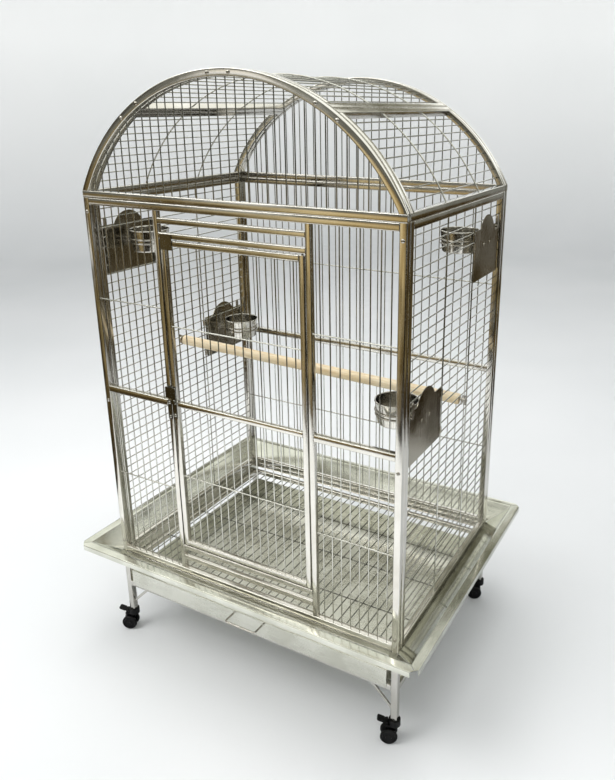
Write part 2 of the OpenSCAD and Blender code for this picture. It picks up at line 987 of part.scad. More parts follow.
// fork: swivel head, deck over the wheels, web between them with the axle bore, pedal ears
module castor_fork() {
    web = wheel_gap / 2 - 1;
    color(black)
        difference() {
            union() {
                translate([0, 0, fork_deck - 5])
                    cylinder(r = head_r, h = fork_top - fork_deck + 5);
                translate([0, -13, fork_deck - 5])
                    cube([deck_x, 26, 5]);
                translate([0, web, 0])
                    rotate([90, 0, 0])
                        linear_extrude(height = 2 * web) {
                            polygon([
                                [-9, fork_deck - 5], [-9, fork_deck - 1],
                                [deck_x - 2, fork_deck - 1], [deck_x - 2, fork_deck - 5],
                                [trail + 10.5, axle_z + 3], [trail - 10.5, axle_z + 3]
                            ]);
                            translate([trail, axle_z])
                                circle(r = 11);
                        }
                for (k = [-1, 1])
                    translate([pedal_x - 4, k * 9 - 1.5, fork_deck - 1])
                        cube([8, 3, 10]);
            }
            translate([0, 0, fork_deck + 1 - clear])
                cylinder(r = stem_r + fit, h = 40);
            translate([pedal_x, -20, pedal_z])
                rotate([-90, 0, 0])
                    cylinder(r = 2 + fit, h = 40);
            translate([trail, -20, axle_z])
                rotate([-90, 0, 0])
                    cylinder(r = axle_r + fit, h = 40);
        }
}

// twin wheels on one axle: treads with rounded shoulders, dished outer sides and hubs
module castor_wheel() {
    r = wheel_r;
    g = wheel_gap / 2;
    h = g + wheel_w;
    color(black)
        translate([trail, 0, axle_z])
            rotate([90, 0, 0])
                rotate_extrude($fn = 72)
                    polygon([
                        [0, -h], [8, -h], [9, 2 - h], [r - 7, 2 - h], [r - 6, -h], [r - 3, -h],
                        [r, 3 - h], [r, -g - 3], [r - 3, -g], [axle_r, -g], [axle_r, g], [r - 3, g],
                        [r, g + 3], [r, h - 3], [r - 3, h], [r - 6, h], [r - 7, h - 2], [9, h - 2],
                        [8, h], [0, h]
                    ]);
}

// brake pedal on a cross pin between the ears, with a wide rounded tread
module castor_brake() {
    pad_w = 20;
    pad_l = 30;
    round_r = 5;
    color(black)
        translate([pedal_x, 0, pedal_z])
            rotate([0, -22, 0])
                union() {
                    rotate([90, 0, 0])
                        cylinder(r = 2, h = 21, center = true);
                    translate([0, 7, 0])
                        rotate([90, 0, 0])
                            linear_extrude(height = 14) {
                                circle(r = 3.6);
                                translate([0, -2.4])
                                    square([14, 6]);
                            }
                    translate([0, 0, -1.9])
                        linear_extrude(height = 5) {
                            translate([8, -pad_w / 2])
                                square([pad_l - 8 - round_r, pad_w]);
                            translate([8, round_r - pad_w / 2])
                                square([pad_l - 8, pad_w - 2 * round_r]);
                            for (k = [-1, 1])
                                translate([pad_l - round_r, k * (pad_w / 2 - round_r)])
                                    circle(r = round_r);
                        }
                }
}

module castor_fork_front_left() { at_castor(-1, -1) castor_fork(); }
module castor_fork_front_right() { at_castor(1, -1) castor_fork(); }
module castor_fork_back_left() { at_castor(-1, 1) castor_fork(); }
module castor_fork_back_right() { at_castor(1, 1) castor_fork(); }
module castor_wheel_front_left() { at_castor(-1, -1) castor_wheel(); }
module castor_wheel_front_right() { at_castor(1, -1) castor_wheel(); }
module castor_wheel_back_left() { at_castor(-1, 1) castor_wheel(); }
module castor_wheel_back_right() { at_castor(1, 1) castor_wheel(); }
module castor_brake_front_left() { at_castor(-1, -1) castor_brake(); }
module castor_brake_front_right() { at_castor(1, -1) castor_brake(); }
module castor_brake_back_left() { at_castor(-1, 1) castor_brake(); }
module castor_brake_back_right() { at_castor(1, 1) castor_brake(); }

stand_legs();
stand_rails();
leg_braces();
slide_runners();
seed_guard_front();
seed_guard_back();
seed_guard_left();
seed_guard_right();
front_panel();
back_panel();
left_panel();
right_panel();
dome_front();
dome_back();
roof_left();
roof_top();
roof_right();
panel_bolts();
perch();
perch_fixings();
door_pins();
latch_keeper();
castor_stems();
door_panel();
door_stop();
latch_base();
latch_lever();
tray();
tray_handle();
grate();
feeder_door_left_front();
feeder_door_left_back();
feeder_door_right_front();
feeder_door_right_back();
feeder_latch_left_front();
feeder_latch_left_back();
feeder_latch_right_front();
feeder_latch_right_back();
bowl_ring_left_front();
bowl_ring_left_back();
bowl_ring_right_front();
bowl_ring_right_back();
bowl_left_front();
bowl_left_back();
bowl_right_front();
bowl_right_back();
castor_fork_front_left();
castor_fork_front_right();
castor_fork_back_left();
castor_fork_back_right();
castor_wheel_front_left();
castor_wheel_front_right();
castor_wheel_back_left();
castor_wheel_back_right();
castor_brake_front_left();
castor_brake_front_right();
castor_brake_back_left();
castor_brake_back_right();
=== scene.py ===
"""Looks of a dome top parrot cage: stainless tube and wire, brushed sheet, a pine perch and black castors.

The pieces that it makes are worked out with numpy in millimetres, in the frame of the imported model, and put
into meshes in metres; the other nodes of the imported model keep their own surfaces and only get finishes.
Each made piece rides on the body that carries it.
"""
import logging
import math
from dataclasses import dataclass, field
from enum import Enum
from typing import Callable, Dict, List, Optional, Sequence, Tuple, Union

import bpy
import numpy as np
from mathutils import Matrix


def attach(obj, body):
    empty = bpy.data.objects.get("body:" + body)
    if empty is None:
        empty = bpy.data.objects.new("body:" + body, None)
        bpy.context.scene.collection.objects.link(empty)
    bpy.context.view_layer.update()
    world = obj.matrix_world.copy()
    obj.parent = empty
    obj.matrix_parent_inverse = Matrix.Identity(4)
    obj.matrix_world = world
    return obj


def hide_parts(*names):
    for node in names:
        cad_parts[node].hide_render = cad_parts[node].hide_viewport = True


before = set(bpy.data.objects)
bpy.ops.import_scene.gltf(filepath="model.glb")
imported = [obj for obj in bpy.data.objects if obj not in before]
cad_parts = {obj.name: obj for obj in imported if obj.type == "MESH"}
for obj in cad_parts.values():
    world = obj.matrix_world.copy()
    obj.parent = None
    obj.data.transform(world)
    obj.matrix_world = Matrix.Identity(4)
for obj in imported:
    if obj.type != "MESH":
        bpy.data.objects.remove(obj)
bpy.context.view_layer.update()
LOG = logging.getLogger("parrot_cage")
Array = np.ndarray
Values = Union[float, Array]
Point = Tuple[float, float, float]
Span = Tuple[float, float]
Node = bpy.types.Node
Socket = bpy.types.NodeSocket
Tree = bpy.types.NodeTree
X_AXIS, Y_AXIS, Z_AXIS = np.eye(3)
SIGNS = (-1, 1)
MM = 0.001


# Sizes


@dataclass(frozen=True)
class CageSizes:
    """Sizes of the cage in millimetres, the same values as the solids."""

    cage_w: float = 1016.0
    cage_d: float = 740.0
    panel_h: float = 1167.0
    base_h: float = 312.0
    tube: float = 20.0
    bar: float = 16.0
    tube_r: float = 2.5
    wire_d: float = 3.5
    cross_d: float = 4.0
    weld: float = 0.15
    pitch: float = 28.0
    door_open_w: float = 472.0
    transom_gap: float = 19.0
    header_gap: float = 24.0
    sill_gap: float = 31.0
    sill_gap_2: float = 21.0
    door_gap: float = 4.0
    dome_rise: float = 317.0
    roof_split: float = 33.0
    seam: float = 0.6
    sheet: float = 1.5
    feeder_w: float = 206.0
    feeder_edge: float = 20.0

    @property
    def xo(self) -> float:
        """Outer half width."""
        return self.cage_w / 2

    @property
    def yo(self) -> float:
        """Outer half depth."""
        return self.cage_d / 2

    @property
    def xi(self) -> float:
        """Inner half width between the posts."""
        return self.xo - self.tube

    @property
    def yi(self) -> float:
        """Inner half depth between the posts."""
        return self.yo - self.tube

    @property
    def wall_x(self) -> float:
        """Middle plane of the side walls."""
        return self.xo - self.tube / 2

    @property
    def wall_y(self) -> float:
        """Middle plane of the front and back walls."""
        return self.yo - self.tube / 2

    @property
    def z0(self) -> float:
        """Underside of the wall panels."""
        return self.base_h

    @property
    def z1(self) -> float:
        """Top of the wall panels."""
        return self.base_h + self.panel_h

    @property
    def mid_z(self) -> float:
        """Middle height of the wall panels."""
        return self.base_h + self.panel_h / 2

    @property
    def cross_off(self) -> float:
        """Offset of a cross wire, pressed a little into the wires it is welded to."""
        return (self.wire_d + self.cross_d) / 2 - self.weld

    @property
    def side_y(self) -> float:
        """Half length of the side panels between the front and back posts."""
        return self.yi - self.seam

    @property
    def hinge_y(self) -> float:
        """Distance of the feeders' hinge wires from the middle plane."""
        return self.side_y - self.tube - self.feeder_w - self.feeder_edge

    @property
    def dome_z(self) -> float:
        """Top of the dome's base rails."""
        return self.z1 + self.tube

    @property
    def dome_r(self) -> float:
        """Outer radius of the dome, from its rise and its half width."""
        return (self.xo ** 2 + self.dome_rise ** 2) / (2 * self.dome_rise)

    @property
    def dome_c(self) -> float:
        """Height of the dome's axis."""
        return self.dome_z + self.dome_rise - self.dome_r

    @property
    def dome_rm(self) -> float:
        """Radius of the dome's middle surface."""
        return self.dome_r - self.tube / 2


SIZES = CageSizes()


class Corner(Enum):
    """Corners of the cage, as the signs of X and Y."""

    LEFT_FRONT = (-1, -1)
    LEFT_BACK = (-1, 1)
    RIGHT_FRONT = (1, -1)
    RIGHT_BACK = (1, 1)

    @property
    def feeder_tag(self) -> str:
        """Name used for the feeder pieces, side first."""
        return self.name.lower()

    @property
    def castor_tag(self) -> str:
        """Name used for the castor pieces, end first."""
        side, end = self.name.lower().split("_")
        return f"{end}_{side}"

    @property
    def feeder_high(self) -> bool:
        """True for the two feeders that hang high."""
        return self in (Corner.LEFT_FRONT, Corner.RIGHT_BACK)


# Surfaces

WIRE_SIDES = 10
TUBE_EASE = 0.4
WIRE_EASE = 0.2
SHIFT_STEP = 0.618
SHIFT_SPAN = 3.0


@dataclass
class Shell:
    """Points of one or more surfaces, with their faces and the surface coordinates of the face corners.

    Attributes:
        points: (n, 3) places in millimetres.
        faces: pairs of (k, sides) point numbers and (k, sides, 2) coordinates in metres along and across.
    """

    points: Array
    faces: List[Tuple[Array, Array]]


def unit(vectors: Array) -> Array:
    """Gives vectors, along the last axis, a length of one."""
    return vectors / np.linalg.norm(vectors, axis=-1, keepdims=True)


def left_of(tangents: Array) -> Array:
    """Turns (n, 2) directions a quarter turn to their left."""
    return np.stack([-tangents[:, 1], tangents[:, 0]], axis=1)


def stacked(*coords: Values) -> Array:
    """Broadcasts coordinates together and stacks them along a new last axis."""
    return np.stack(np.broadcast_arrays(*[np.asarray(c, float) for c in coords]), axis=-1)


def lines(xs: Values, ys: Values, zs: Values) -> Array:
    """Broadcasts coordinates together into rows of points."""
    return stacked(xs, ys, zs).reshape(-1, 3)


def distances(path: Array) -> Array:
    """Length in metres from the first point of a path to each of its points."""
    steps = np.linalg.norm(np.diff(path, axis=0), axis=1)
    return np.concatenate([[0.0], np.cumsum(steps)]) * MM


def perimeter(profile: Array) -> Array:
    """Length in metres from the first point of a closed profile to each point and back to the first."""
    return distances(np.vstack([profile, profile[:1]]))


def joined(shells: Sequence[Shell]) -> Shell:
    """Puts several shells into one, with the point numbers of each moved past those before it.

    Args:
        shells: the shells to join.

    Returns:
        One shell with all their faces.
    """
    offsets = np.cumsum([0] + [len(s.points) for s in shells])
    faces = [(index + start, uv) for s, start in zip(shells, offsets) for index, uv in s.faces]
    return Shell(np.concatenate([s.points for s in shells]), faces)


def mirrored(shell: Shell, sign: int) -> Shell:
    """Multiplies X by a sign and turns the faces round where that turns the surface inside out.

    Args:
        shell: the shell to mirror.
        sign: 1 or -1.

    Returns:
        The mirrored shell.
    """
    if sign > 0:
        return shell
    faces = [(index[:, ::-1].copy(), uv[:, ::-1].copy()) for index, uv in shell.faces]
    return Shell(shell.points * np.array([-1.0, 1.0, 1.0]), faces)


def placed(shell: Shell, origin: Sequence[float], axes: Sequence[Sequence[float]] = np.eye(3)) -> Shell:
    """Sets a shell down: origin + x * axes[0] + y * axes[1] + z * axes[2]."""
    return Shell(shell.points @ np.asarray(axes, float) + np.asarray(origin, float), shell.faces)


def grid_faces(rows: int, cols: int, along: Array, around: Array, wrap: bool = True) -> Tuple[Array, Array]:
    """Quads of a grid of points, with coordinates along the rows and round the columns.

    Args:
        rows: number of rows.
        cols: number of columns.
        along: (rows,) or (rows, cols) coordinate in metres.
        around: (cols + 1,) coordinate in metres, the last one closing the turn.
        wrap: True where the last column joins the first.

    Returns:
        Point numbers and coordinates of the quads.
    """
    i = np.arange(rows - 1)[:, None]
    j = np.arange(cols if wrap else cols - 1)[None, :]
    k = (j + 1) % cols
    index = np.stack([i * cols + j, i * cols + k, (i + 1) * cols + k, (i + 1) * cols + j], axis=-1)
    u = np.broadcast_to(along[:, None] if along.ndim == 1 else along, (rows, cols))
    corner_u = np.stack([u[i, j], u[i, k], u[i + 1, k], u[i + 1, j]], axis=-1)
    v = np.stack([around[j], around[j + 1], around[j + 1], around[j]], axis=-1)
    return index.reshape(-1, 4), stacked(corner_u, v).reshape(-1, 4, 2)


def end_caps(rows: int, cols: int) -> Array:
    """Point numbers of the first and the last row of a closed grid, as faces that look outwards."""
    ring = np.arange(cols)
    return np.stack([ring[::-1], (rows - 1) * cols + ring])


def swept(points: Array, along: Array, profile: Array) -> Shell:
    """Shell of rows of points round a section, with both ends closed.

    Args:
        points: (rows, m, 3) places.
        along: (rows, m) coordinate in metres along the shell.
        profile: (m, 2) closed section.

    Returns:
        A closed shell.
    """
    rows, cols = points.shape[:2]
    side = grid_faces(rows, cols, along, perimeter(profile))
    caps = (end_caps(rows, cols), np.broadcast_to(profile * MM, (2, cols, 2)))
    return Shell(points.reshape(-1, 3), [side, caps])


def round_profile(diameter: float) -> Array:
    """Circle of wire points, counter-clockwise: (r cos t, r sin t) at equal steps of t."""
    t = np.arange(WIRE_SIDES) / WIRE_SIDES * 2 * np.pi
    return diameter / 2 * stacked(np.cos(t), np.sin(t))


def tube_profile(side: float, radius: float, steps: int = 4) -> Array:
    """Square with rounded corners: a quarter circle about each corner's centre, at side / 2 - radius.

    Args:
        side: side of the square.
        radius: corner radius.
        steps: parts of each quarter circle.

    Returns:
        (4 * (steps + 1), 2) points, counter-clockwise.
    """
    t = np.linspace(0, np.pi / 2, steps + 1) + np.arange(4)[:, None] * np.pi / 2
    corners = np.array([[1, 1], [-1, 1], [-1, -1], [1, -1]], float)[:, None, :]
    return ((side / 2 - radius) * corners + radius * stacked(np.cos(t), np.sin(t))).reshape(-1, 2)


def runs(starts: Array, ends: Array, profile: Array, hint: Array, ease: float) -> Shell:
    """Straight bars or wires, all in one array: start + axis * t + profile, with both ends eased.

    The profile stands across each axis: its first direction is hint x axis, its second axis x first.
    The surface coordinates of each bar start elsewhere, so that no two show the same polishing lines.

    Args:
        starts: (k, 3) first ends.
        ends: (k, 3) second ends.
        profile: (m, 2) closed section.
        hint: a direction that is not along the bars.
        ease: length over which the ends draw in, in millimetres.

    Returns:
        The shell of all bars, with their ends closed.
    """
    a = np.asarray(starts, float).reshape(-1, 3)
    b = np.asarray(ends, float).reshape(-1, 3)
    length = np.linalg.norm(b - a, axis=1)
    axis = unit(b - a)
    across = unit(np.cross(np.broadcast_to(hint, axis.shape), axis))
    up = np.cross(axis, across)
    count, sides = len(a), len(profile)
    t = np.stack([0 * length, 0 * length + ease, length - ease, length], axis=1)
    draw = 1 - ease / np.abs(profile).max() * np.array([1, 0, 0, 1.0])
    flat = profile[:, 0, None] * across[:, None, :] + profile[:, 1, None] * up[:, None, :]
    points = a[:, None, None, :] + axis[:, None, None, :] * t[:, :, None, None]
    points = points + draw[None, :, None, None] * flat[:, None, :, :]
    shift = (np.arange(count) * SHIFT_STEP) % 1.0 * SHIFT_SPAN
    around = perimeter(profile)
    quads, _ = grid_faces(4, sides, np.zeros(4), around)
    j = np.arange(sides)
    v = np.stack([around[j], around[j + 1], around[j + 1], around[j]], axis=-1)
    u = (t * MM + shift[:, None])[:, [[0, 0, 1, 1], [1, 1, 2, 2], [2, 2, 3, 3]]]
    uv = stacked(u[:, :, None, :], v).reshape(-1, 4, 2)
    first = (np.arange(count) * 4 * sides)[:, None, None]
    index = (quads + first).reshape(-1, 4)
    caps = (end_caps(4, sides) + first).reshape(-1, sides)
    cap_uv = np.broadcast_to(profile * MM, (len(caps), sides, 2))
    return Shell(points.reshape(-1, 3), [(index, uv), (caps, cap_uv)])


def arc_run(profile: Array, low: Array, high: Array, y: float, sizes: CageSizes, steps: int = 40) -> Shell:
    """Bar bent along the dome: ((R + p) cos a, y + q, c + (R + p) sin a), a from low to high for each point.

    Args:
        profile: (m, 2) section, p outwards along the radius and q along Y.
        low: (m,) start angle of each point of the section, in radians.
        high: (m,) end angle of each point.
        y: place of the bar along Y.
        sizes: the cage, with the dome's radius R and the height c of its axis.
        steps: number of parts along the bar.

    Returns:
        The shell of the bar with closed ends.
    """
    t = np.linspace(0, 1, steps + 1)[:, None]
    a = low + t * (high - low)
    r = sizes.dome_rm + profile[:, 0]
    points = stacked(r * np.cos(a), y + profile[:, 1], sizes.dome_c + r * np.sin(a))
    return swept(points, a * sizes.dome_rm * MM, profile)


def ruled(profile: Array, left: Array, right: Array) -> Shell:
    """Section in Y and Z drawn along X, each point between its own ends: (left + t (right - left), p, q)."""
    x = left + np.linspace(0, 1, 3)[:, None] * (right - left)
    return swept(stacked(x, profile[:, 0], profile[:, 1]), x * MM, profile)


def revolved(profile: Array, steps: int, wave: Optional[Callable[[Array, Array], Array]] = None) -> Shell:
    """Turns a profile of (radius, height) about Z: (r cos t, r sin t, h), with flat discs on its two ends.

    Args:
        profile: (n, 2) points from one end to the other, going up on the outside.
        steps: parts of the turn.
        wave: optional factor on the radius, a function of the profile's point number and the angle.

    Returns:
        A closed shell.
    """
    t = np.arange(steps) / steps * 2 * np.pi
    n = len(profile)
    r = profile[:, :1] * (wave(np.arange(n)[:, None], t) if wave else 1.0)
    points = lines(r * np.cos(t), r * np.sin(t), profile[:, 1:])
    turn = np.arange(steps + 1) / steps * 2 * np.pi * profile[:, 0].max() * MM
    caps = end_caps(n, steps)
    side = grid_faces(n, steps, distances(profile), turn)
    return Shell(points, [side, (caps, points[caps][:, :, :2] * MM)])


def plate(outline: Array, thickness: float, ease: float) -> Shell:
    """Flat plate from an outline in X and Y, from Z 0 to its thickness, with its edges eased.

    On the lowest and the highest ring each point moves in by ease along the mean normal of its two sides.

    Args:
        outline: (m, 2) counter-clockwise outline.
        thickness: plate thickness.
        ease: size of the eased edge.

    Returns:
        A closed shell.
    """
    inward = left_of(unit(np.roll(outline, -1, axis=0) - np.roll(outline, 1, axis=0)))
    rings = np.array([[1.0, 0.0], [0.0, ease], [0.0, thickness - ease], [1.0, thickness]])
    flat = outline + ease * rings[:, 0, None, None] * inward
    points = lines(flat[..., 0], flat[..., 1], rings[:, 1, None])
    m = len(outline)
    caps = end_caps(4, m)
    side = grid_faces(4, m, rings[:, 1] * MM, perimeter(outline))
    return Shell(points, [side, (caps, outline[caps % m] * MM)])


def rounded_path(corners: Array, radius: float, steps: int = 4) -> Array:
    """Polyline in a plane, its inner corners rounded by a quadratic curve from radius before to radius after.

    Args:
        corners: (n, 2) points.
        radius: length cut off each side of a corner.
        steps: parts of each rounding.

    Returns:
        (k, 2) points.
    """
    inner = corners[1:-1]
    a = inner + unit(corners[:-2] - inner) * radius
    b = inner + unit(corners[2:] - inner) * radius
    t = np.linspace(0, 1, steps + 1)[None, :, None]
    bends = (1 - t) ** 2 * a[:, None] + 2 * t * (1 - t) * inner[:, None] + t ** 2 * b[:, None]
    return np.concatenate([corners[:1], bends.reshape(-1, 2), corners[-1:]])


def sheet_profile(line: Array, thickness: float) -> Array:
    """Closed section of a folded sheet: its line moved half a thickness to the right, then to the left."""
    normal = left_of(unit(np.gradient(line, axis=0))) * thickness / 2
    return np.concatenate([line - normal, (line + normal)[::-1]])


# Finishes

# Colour sockets of Blender's Mix node, which has several of the same name
MIX_SHARE, MIX_A, MIX_B, MIX_OUT = 0, 6, 7, 2


def linear(hex_colour: str) -> Tuple[float, float, float, float]:
    """Turns an sRGB hex colour, six digits after a hash, into linear red, green, blue and alpha."""
    value = [int(hex_colour[i:i + 2], 16) / 255 for i in (1, 3, 5)]
    return tuple(c / 12.92 if c <= 0.04045 else ((c + 0.055) / 1.055) ** 2.4 for c in value) + (1.0,)


def feed(tree: Tree, node: Node, inputs: Dict[object, object]) -> None:
    """Fills inputs of a node.

    Args:
        tree: the node tree.
        node: the node.
        inputs: input names or numbers, each with an output socket to link or a plain value to set.
    """
    for key, value in inputs.items():
        if isinstance(value, Socket):
            tree.links.new(value, node.inputs[key])
        else:
            node.inputs[key].default_value = value


def add(tree: Tree, kind: str, inputs: Optional[Dict[object, object]] = None, **settings: object) -> Node:
    """Adds one node, sets its properties and fills its inputs.

    Args:
        tree: the node tree.
        kind: Blender's name of the node type, without its first word.
        inputs: what its inputs get.
        settings: property names and values.

    Returns:
        The new node.
    """
    node = tree.nodes.new(f"ShaderNode{kind}")
    for key, value in settings.items():
        setattr(node, key, value)
    feed(tree, node, inputs or {})
    return node


def ramp(tree: Tree, source: Socket, stops: Sequence[Tuple[float, str]]) -> Socket:
    """Maps a value to colours at stops.

    Args:
        tree: the node tree.
        source: the value.
        stops: pairs of place and hex colour.

    Returns:
        The colour socket.
    """
    node = add(tree, "ValToRGB", {"Fac": source})
    elements = node.color_ramp.elements
    while len(elements) < len(stops):
        elements.new(0.5)
    for element, (place, colour) in zip(elements, stops):
        element.position = place
        element.color = linear(colour)
    return node.outputs["Color"]


def spread(tree: Tree, value: Socket, source: Span, target: Span) -> Socket:
    """Maps a value from its source range to a target range, and gives the new value's socket."""
    keys = ("From Min", "From Max", "To Min", "To Max")
    return add(tree, "MapRange", {"Value": value, **dict(zip(keys, source + target))}).outputs["Result"]


def relief(tree: Tree, height: Socket, strength: float, depth_mm: float) -> Socket:
    """Normal of a surface with a fine relief, whose depth is in millimetres."""
    inputs = {"Height": height, "Strength": strength, "Distance": depth_mm * MM}
    return add(tree, "Bump", inputs).outputs["Normal"]


class Coords(Enum):
    """Which coordinates a pattern follows, and which of them its lines run along."""

    SURFACE = ("UV", 0)
    OBJECT = ("Object", 0)
    UPRIGHT = ("Object", 2)


@dataclass(frozen=True)
class Finish:
    """A surface finish: its material is made once and shared by the pieces that wear it."""

    name: str
    slot: str
    coords: Coords = Coords.SURFACE

    def material(self) -> bpy.types.Material:
        """Makes the material on first use.

        Returns:
            The material.
        """
        found = bpy.data.materials.get(self.name)
        if found:
            return found
        made = bpy.data.materials.new(self.name)
        made.use_nodes = True
        tree = made.node_tree
        tree.nodes.clear()
        shader = add(tree, "BsdfPrincipled")
        add(tree, "OutputMaterial", {"Surface": shader.outputs["BSDF"]})
        feed(tree, shader, self.inputs(tree))
        return made

    def pattern(self, tree: Tree, scale: Point, detail: float) -> Socket:
        """Noise on the finish's own coordinates, stretched by a scale.

        Args:
            tree: the node tree.
            scale: turns per metre along the three coordinates.
            detail: fineness of the noise.

        Returns:
            The value socket.
        """
        socket, run = self.coords.value
        place = add(tree, "TexCoord").outputs[socket]
        moved = add(tree, "Mapping", {"Vector": place, "Scale": tuple(np.roll(scale, run))}).outputs["Vector"]
        return add(tree, "TexNoise", {"Vector": moved, "Scale": 1.0, "Detail": detail}).outputs["Fac"]

    def inputs(self, tree: Tree) -> Dict[object, object]:
        """What the Principled shader gets; each finish has its own."""
        raise NotImplementedError


@dataclass(frozen=True)
class StainlessFinish(Finish):
    """Stainless steel: a neutral metal with polishing lines along the piece and faint handling marks.

    The lines are far finer than the render shows, so they are drawn line_mm apart to be seen at all.

    Attributes:
        light: hex colour of the clean metal.
        dull: hex colour where it is handled or stained.
        smooth: roughness of the polished streaks.
        rough: roughness of the dull streaks.
        line_mm: spacing of the polishing lines.
        run_mm: length of a polishing line.
        depth: strength of the line relief.
        marks: handling marks per metre.
        mark_stops: pattern values that are dull and clean.
        streak_share: part that the lines have in the roughness, beside the marks.
        streak_range: sums of both that are smooth and rough.
        relief_mm: depth of the relief.
    """

    light: str = "#D3D1CC"
    dull: str = "#C2BFB7"
    smooth: float = 0.08
    rough: float = 0.20
    line_mm: float = 1.2
    run_mm: float = 120.0
    depth: float = 0.02
    marks: Point = (9.0, 9.0, 9.0)
    mark_stops: Span = (0.35, 0.62)
    streak_share: float = 0.55
    streak_range: Span = (0.55, 1.05)
    relief_mm: float = 0.4

    def inputs(self, tree: Tree) -> Dict[object, object]:
        """Colour and roughness from marks and lines, and the relief of the lines.

        Args:
            tree: the node tree.

        Returns:
            The shader's inputs.
        """
        along, across = 1 / (self.run_mm * MM), 1 / (self.line_mm * MM)
        streaks = self.pattern(tree, (along, across, across), detail=3.0)
        marks = self.pattern(tree, self.marks, detail=5.0)
        terms = {0: streaks, 1: self.streak_share, 2: marks}
        both = add(tree, "Math", terms, operation="MULTIPLY_ADD").outputs[0]
        return {
            "Metallic": 1.0,
            "Base Color": ramp(tree, marks, list(zip(self.mark_stops, (self.dull, self.light)))),
            "Roughness": spread(tree, both, self.streak_range, (self.smooth, self.rough)),
            "Normal": relief(tree, streaks, self.depth, self.relief_mm),
        }


@dataclass(frozen=True)
class SandedPine(Finish):
    """Sanded pine dowel: pale yellow wood with darker late-wood lines along its grain, matt and dry.

    Attributes:
        early: hex colour of the early wood.
        late: hex colour of the late wood.
        deep: hex colour of its darkest lines.
        blotched: hex colour of the blotches.
        grain: turns per metre of the grain, whose lines are about 3 mm apart.
        blotch: turns per metre of the blotches.
        fibre: turns per metre of the fibres.
    """

    early: str = "#FFF1D4"
    late: str = "#F0D5A2"
    deep: str = "#C79C66"
    blotched: str = "#E8CD9E"
    grain: Point = (3.0, 330.0, 330.0)
    blotch: Point = (7.0, 25.0, 25.0)
    fibre: Point = (40.0, 1800.0, 1800.0)

    def inputs(self, tree: Tree) -> Dict[object, object]:
        """Grain mixed half and half with blotches, and fine fibres in roughness and relief.

        Args:
            tree: the node tree.

        Returns:
            The shader's inputs.
        """
        grain = self.pattern(tree, self.grain, detail=4.0)
        blotch = self.pattern(tree, self.blotch, detail=3.0)
        fibre = self.pattern(tree, self.fibre, detail=2.0)
        wood = ramp(tree, grain, [(0.30, self.deep), (0.44, self.late), (0.60, self.early)])
        pale = ramp(tree, blotch, [(0.3, self.blotched), (0.7, self.early)])
        blend = {MIX_SHARE: 0.5, MIX_A: wood, MIX_B: pale}
        return {
            "Base Color": add(tree, "Mix", blend, data_type="RGBA").outputs[MIX_OUT],
            "Roughness": spread(tree, fibre, source=(0.0, 1.0), target=(0.42, 0.66)),
            "Normal": relief(tree, fibre, strength=0.25, depth_mm=0.3),
        }


@dataclass(frozen=True)
class MouldedPlastic(Finish):
    """Moulded black plastic: near black, with a fine spark-eroded grain, paler where it is scuffed.

    Attributes:
        dark: hex colour of the clean plastic.
        scuffed: hex colour of the scuffs.
        smooth: roughness of the clean plastic.
        rough: roughness of the scuffs.
        grain: turns per metre of the grain, 0.8 mm.
        scuff: turns per metre of the scuffs, 15 mm.
    """

    dark: str = "#070708"
    scuffed: str = "#151516"
    smooth: float = 0.34
    rough: float = 0.55
    grain: Point = (1250.0, 1250.0, 1250.0)
    scuff: Point = (66.0, 66.0, 66.0)

    def inputs(self, tree: Tree) -> Dict[object, object]:
        """Colour and roughness from the scuffs, and the relief of the grain.

        Args:
            tree: the node tree.

        Returns:
            The shader's inputs.
        """
        grain = self.pattern(tree, self.grain, detail=2.0)
        scuff = self.pattern(tree, self.scuff, detail=5.0)
        return {
            "Base Color": ramp(tree, scuff, [(0.5, self.dark), (0.75, self.scuffed)]),
            "Roughness": spread(tree, scuff, source=(0.3, 0.7), target=(self.smooth, self.rough)),
            "Specular IOR Level": 0.2,
            "Normal": relief(tree, grain, strength=0.12, depth_mm=0.2),
        }


@dataclass(frozen=True)
class StudioPaper(Finish):
    """Matt pale studio floor, with the faintest mottling; its wall glows a little, as a lit backdrop does.

    Attributes:
        tone: hex colour of the floor.
        mottled: hex colour of the mottling.
        glow: light that the upper wall gives the picture.
        glow_rise: heights in metres at which that light begins and is full.
        shine: light that the floor in front gives to reflections in the steel.
        shine_reach: distances in front of the middle, in metres, at which it begins and is full; nearer the
            cage and behind it the floor gives no such light, a painted shadow of the cage in the reflections.
        high_shine: light that the high wall gives to reflections.
        high_rise: heights at which it begins and is full.
    """

    tone: str = "#EDEEEE"
    mottled: str = "#E6E8E8"
    glow: float = 0.40
    glow_rise: Span = (-0.5, 2.6)
    shine: float = 0.58
    shine_reach: Span = (0.55, 1.0)
    high_shine: float = 1.8
    high_rise: Span = (2.2, 5.0)

    def inputs(self, tree: Tree) -> Dict[object, object]:
        """A flat pale tone with broad mottling, and the sum of the three lights.

        Args:
            tree: the node tree.

        Returns:
            The shader's inputs.
        """
        mottle = self.pattern(tree, (0.7, 0.7, 0.7), detail=2.0)
        place = add(tree, "TexCoord").outputs["Object"]
        parts = add(tree, "SeparateXYZ", {"Vector": place}).outputs
        ahead = add(tree, "Math", {0: parts["Y"], 1: -1.0}, operation="MULTIPLY").outputs[0]
        rays = add(tree, "LightPath").outputs
        light = 0.0
        # The floor's shine in reflections is left out near and behind the cage: a painted shadow of the cage.
        for source, reach, level, ray in (
                (parts["Z"], self.glow_rise, self.glow, "Is Camera Ray"),
                (ahead, self.shine_reach, self.shine, "Is Glossy Ray"),
                (parts["Z"], self.high_rise, self.high_shine, "Is Glossy Ray")):
            rise = spread(tree, source, reach, (0.0, level))
            light = add(tree, "Math", {0: rise, 1: rays[ray], 2: light}, operation="MULTIPLY_ADD").outputs[0]
        return {
            "Base Color": ramp(tree, mottle, [(0.3, self.mottled), (0.7, self.tone)]),
            "Roughness": 0.85,
            "Specular IOR Level": 0.2,
            "Emission Color": linear("#FFFFFC"),
            "Emission Strength": light,
        }


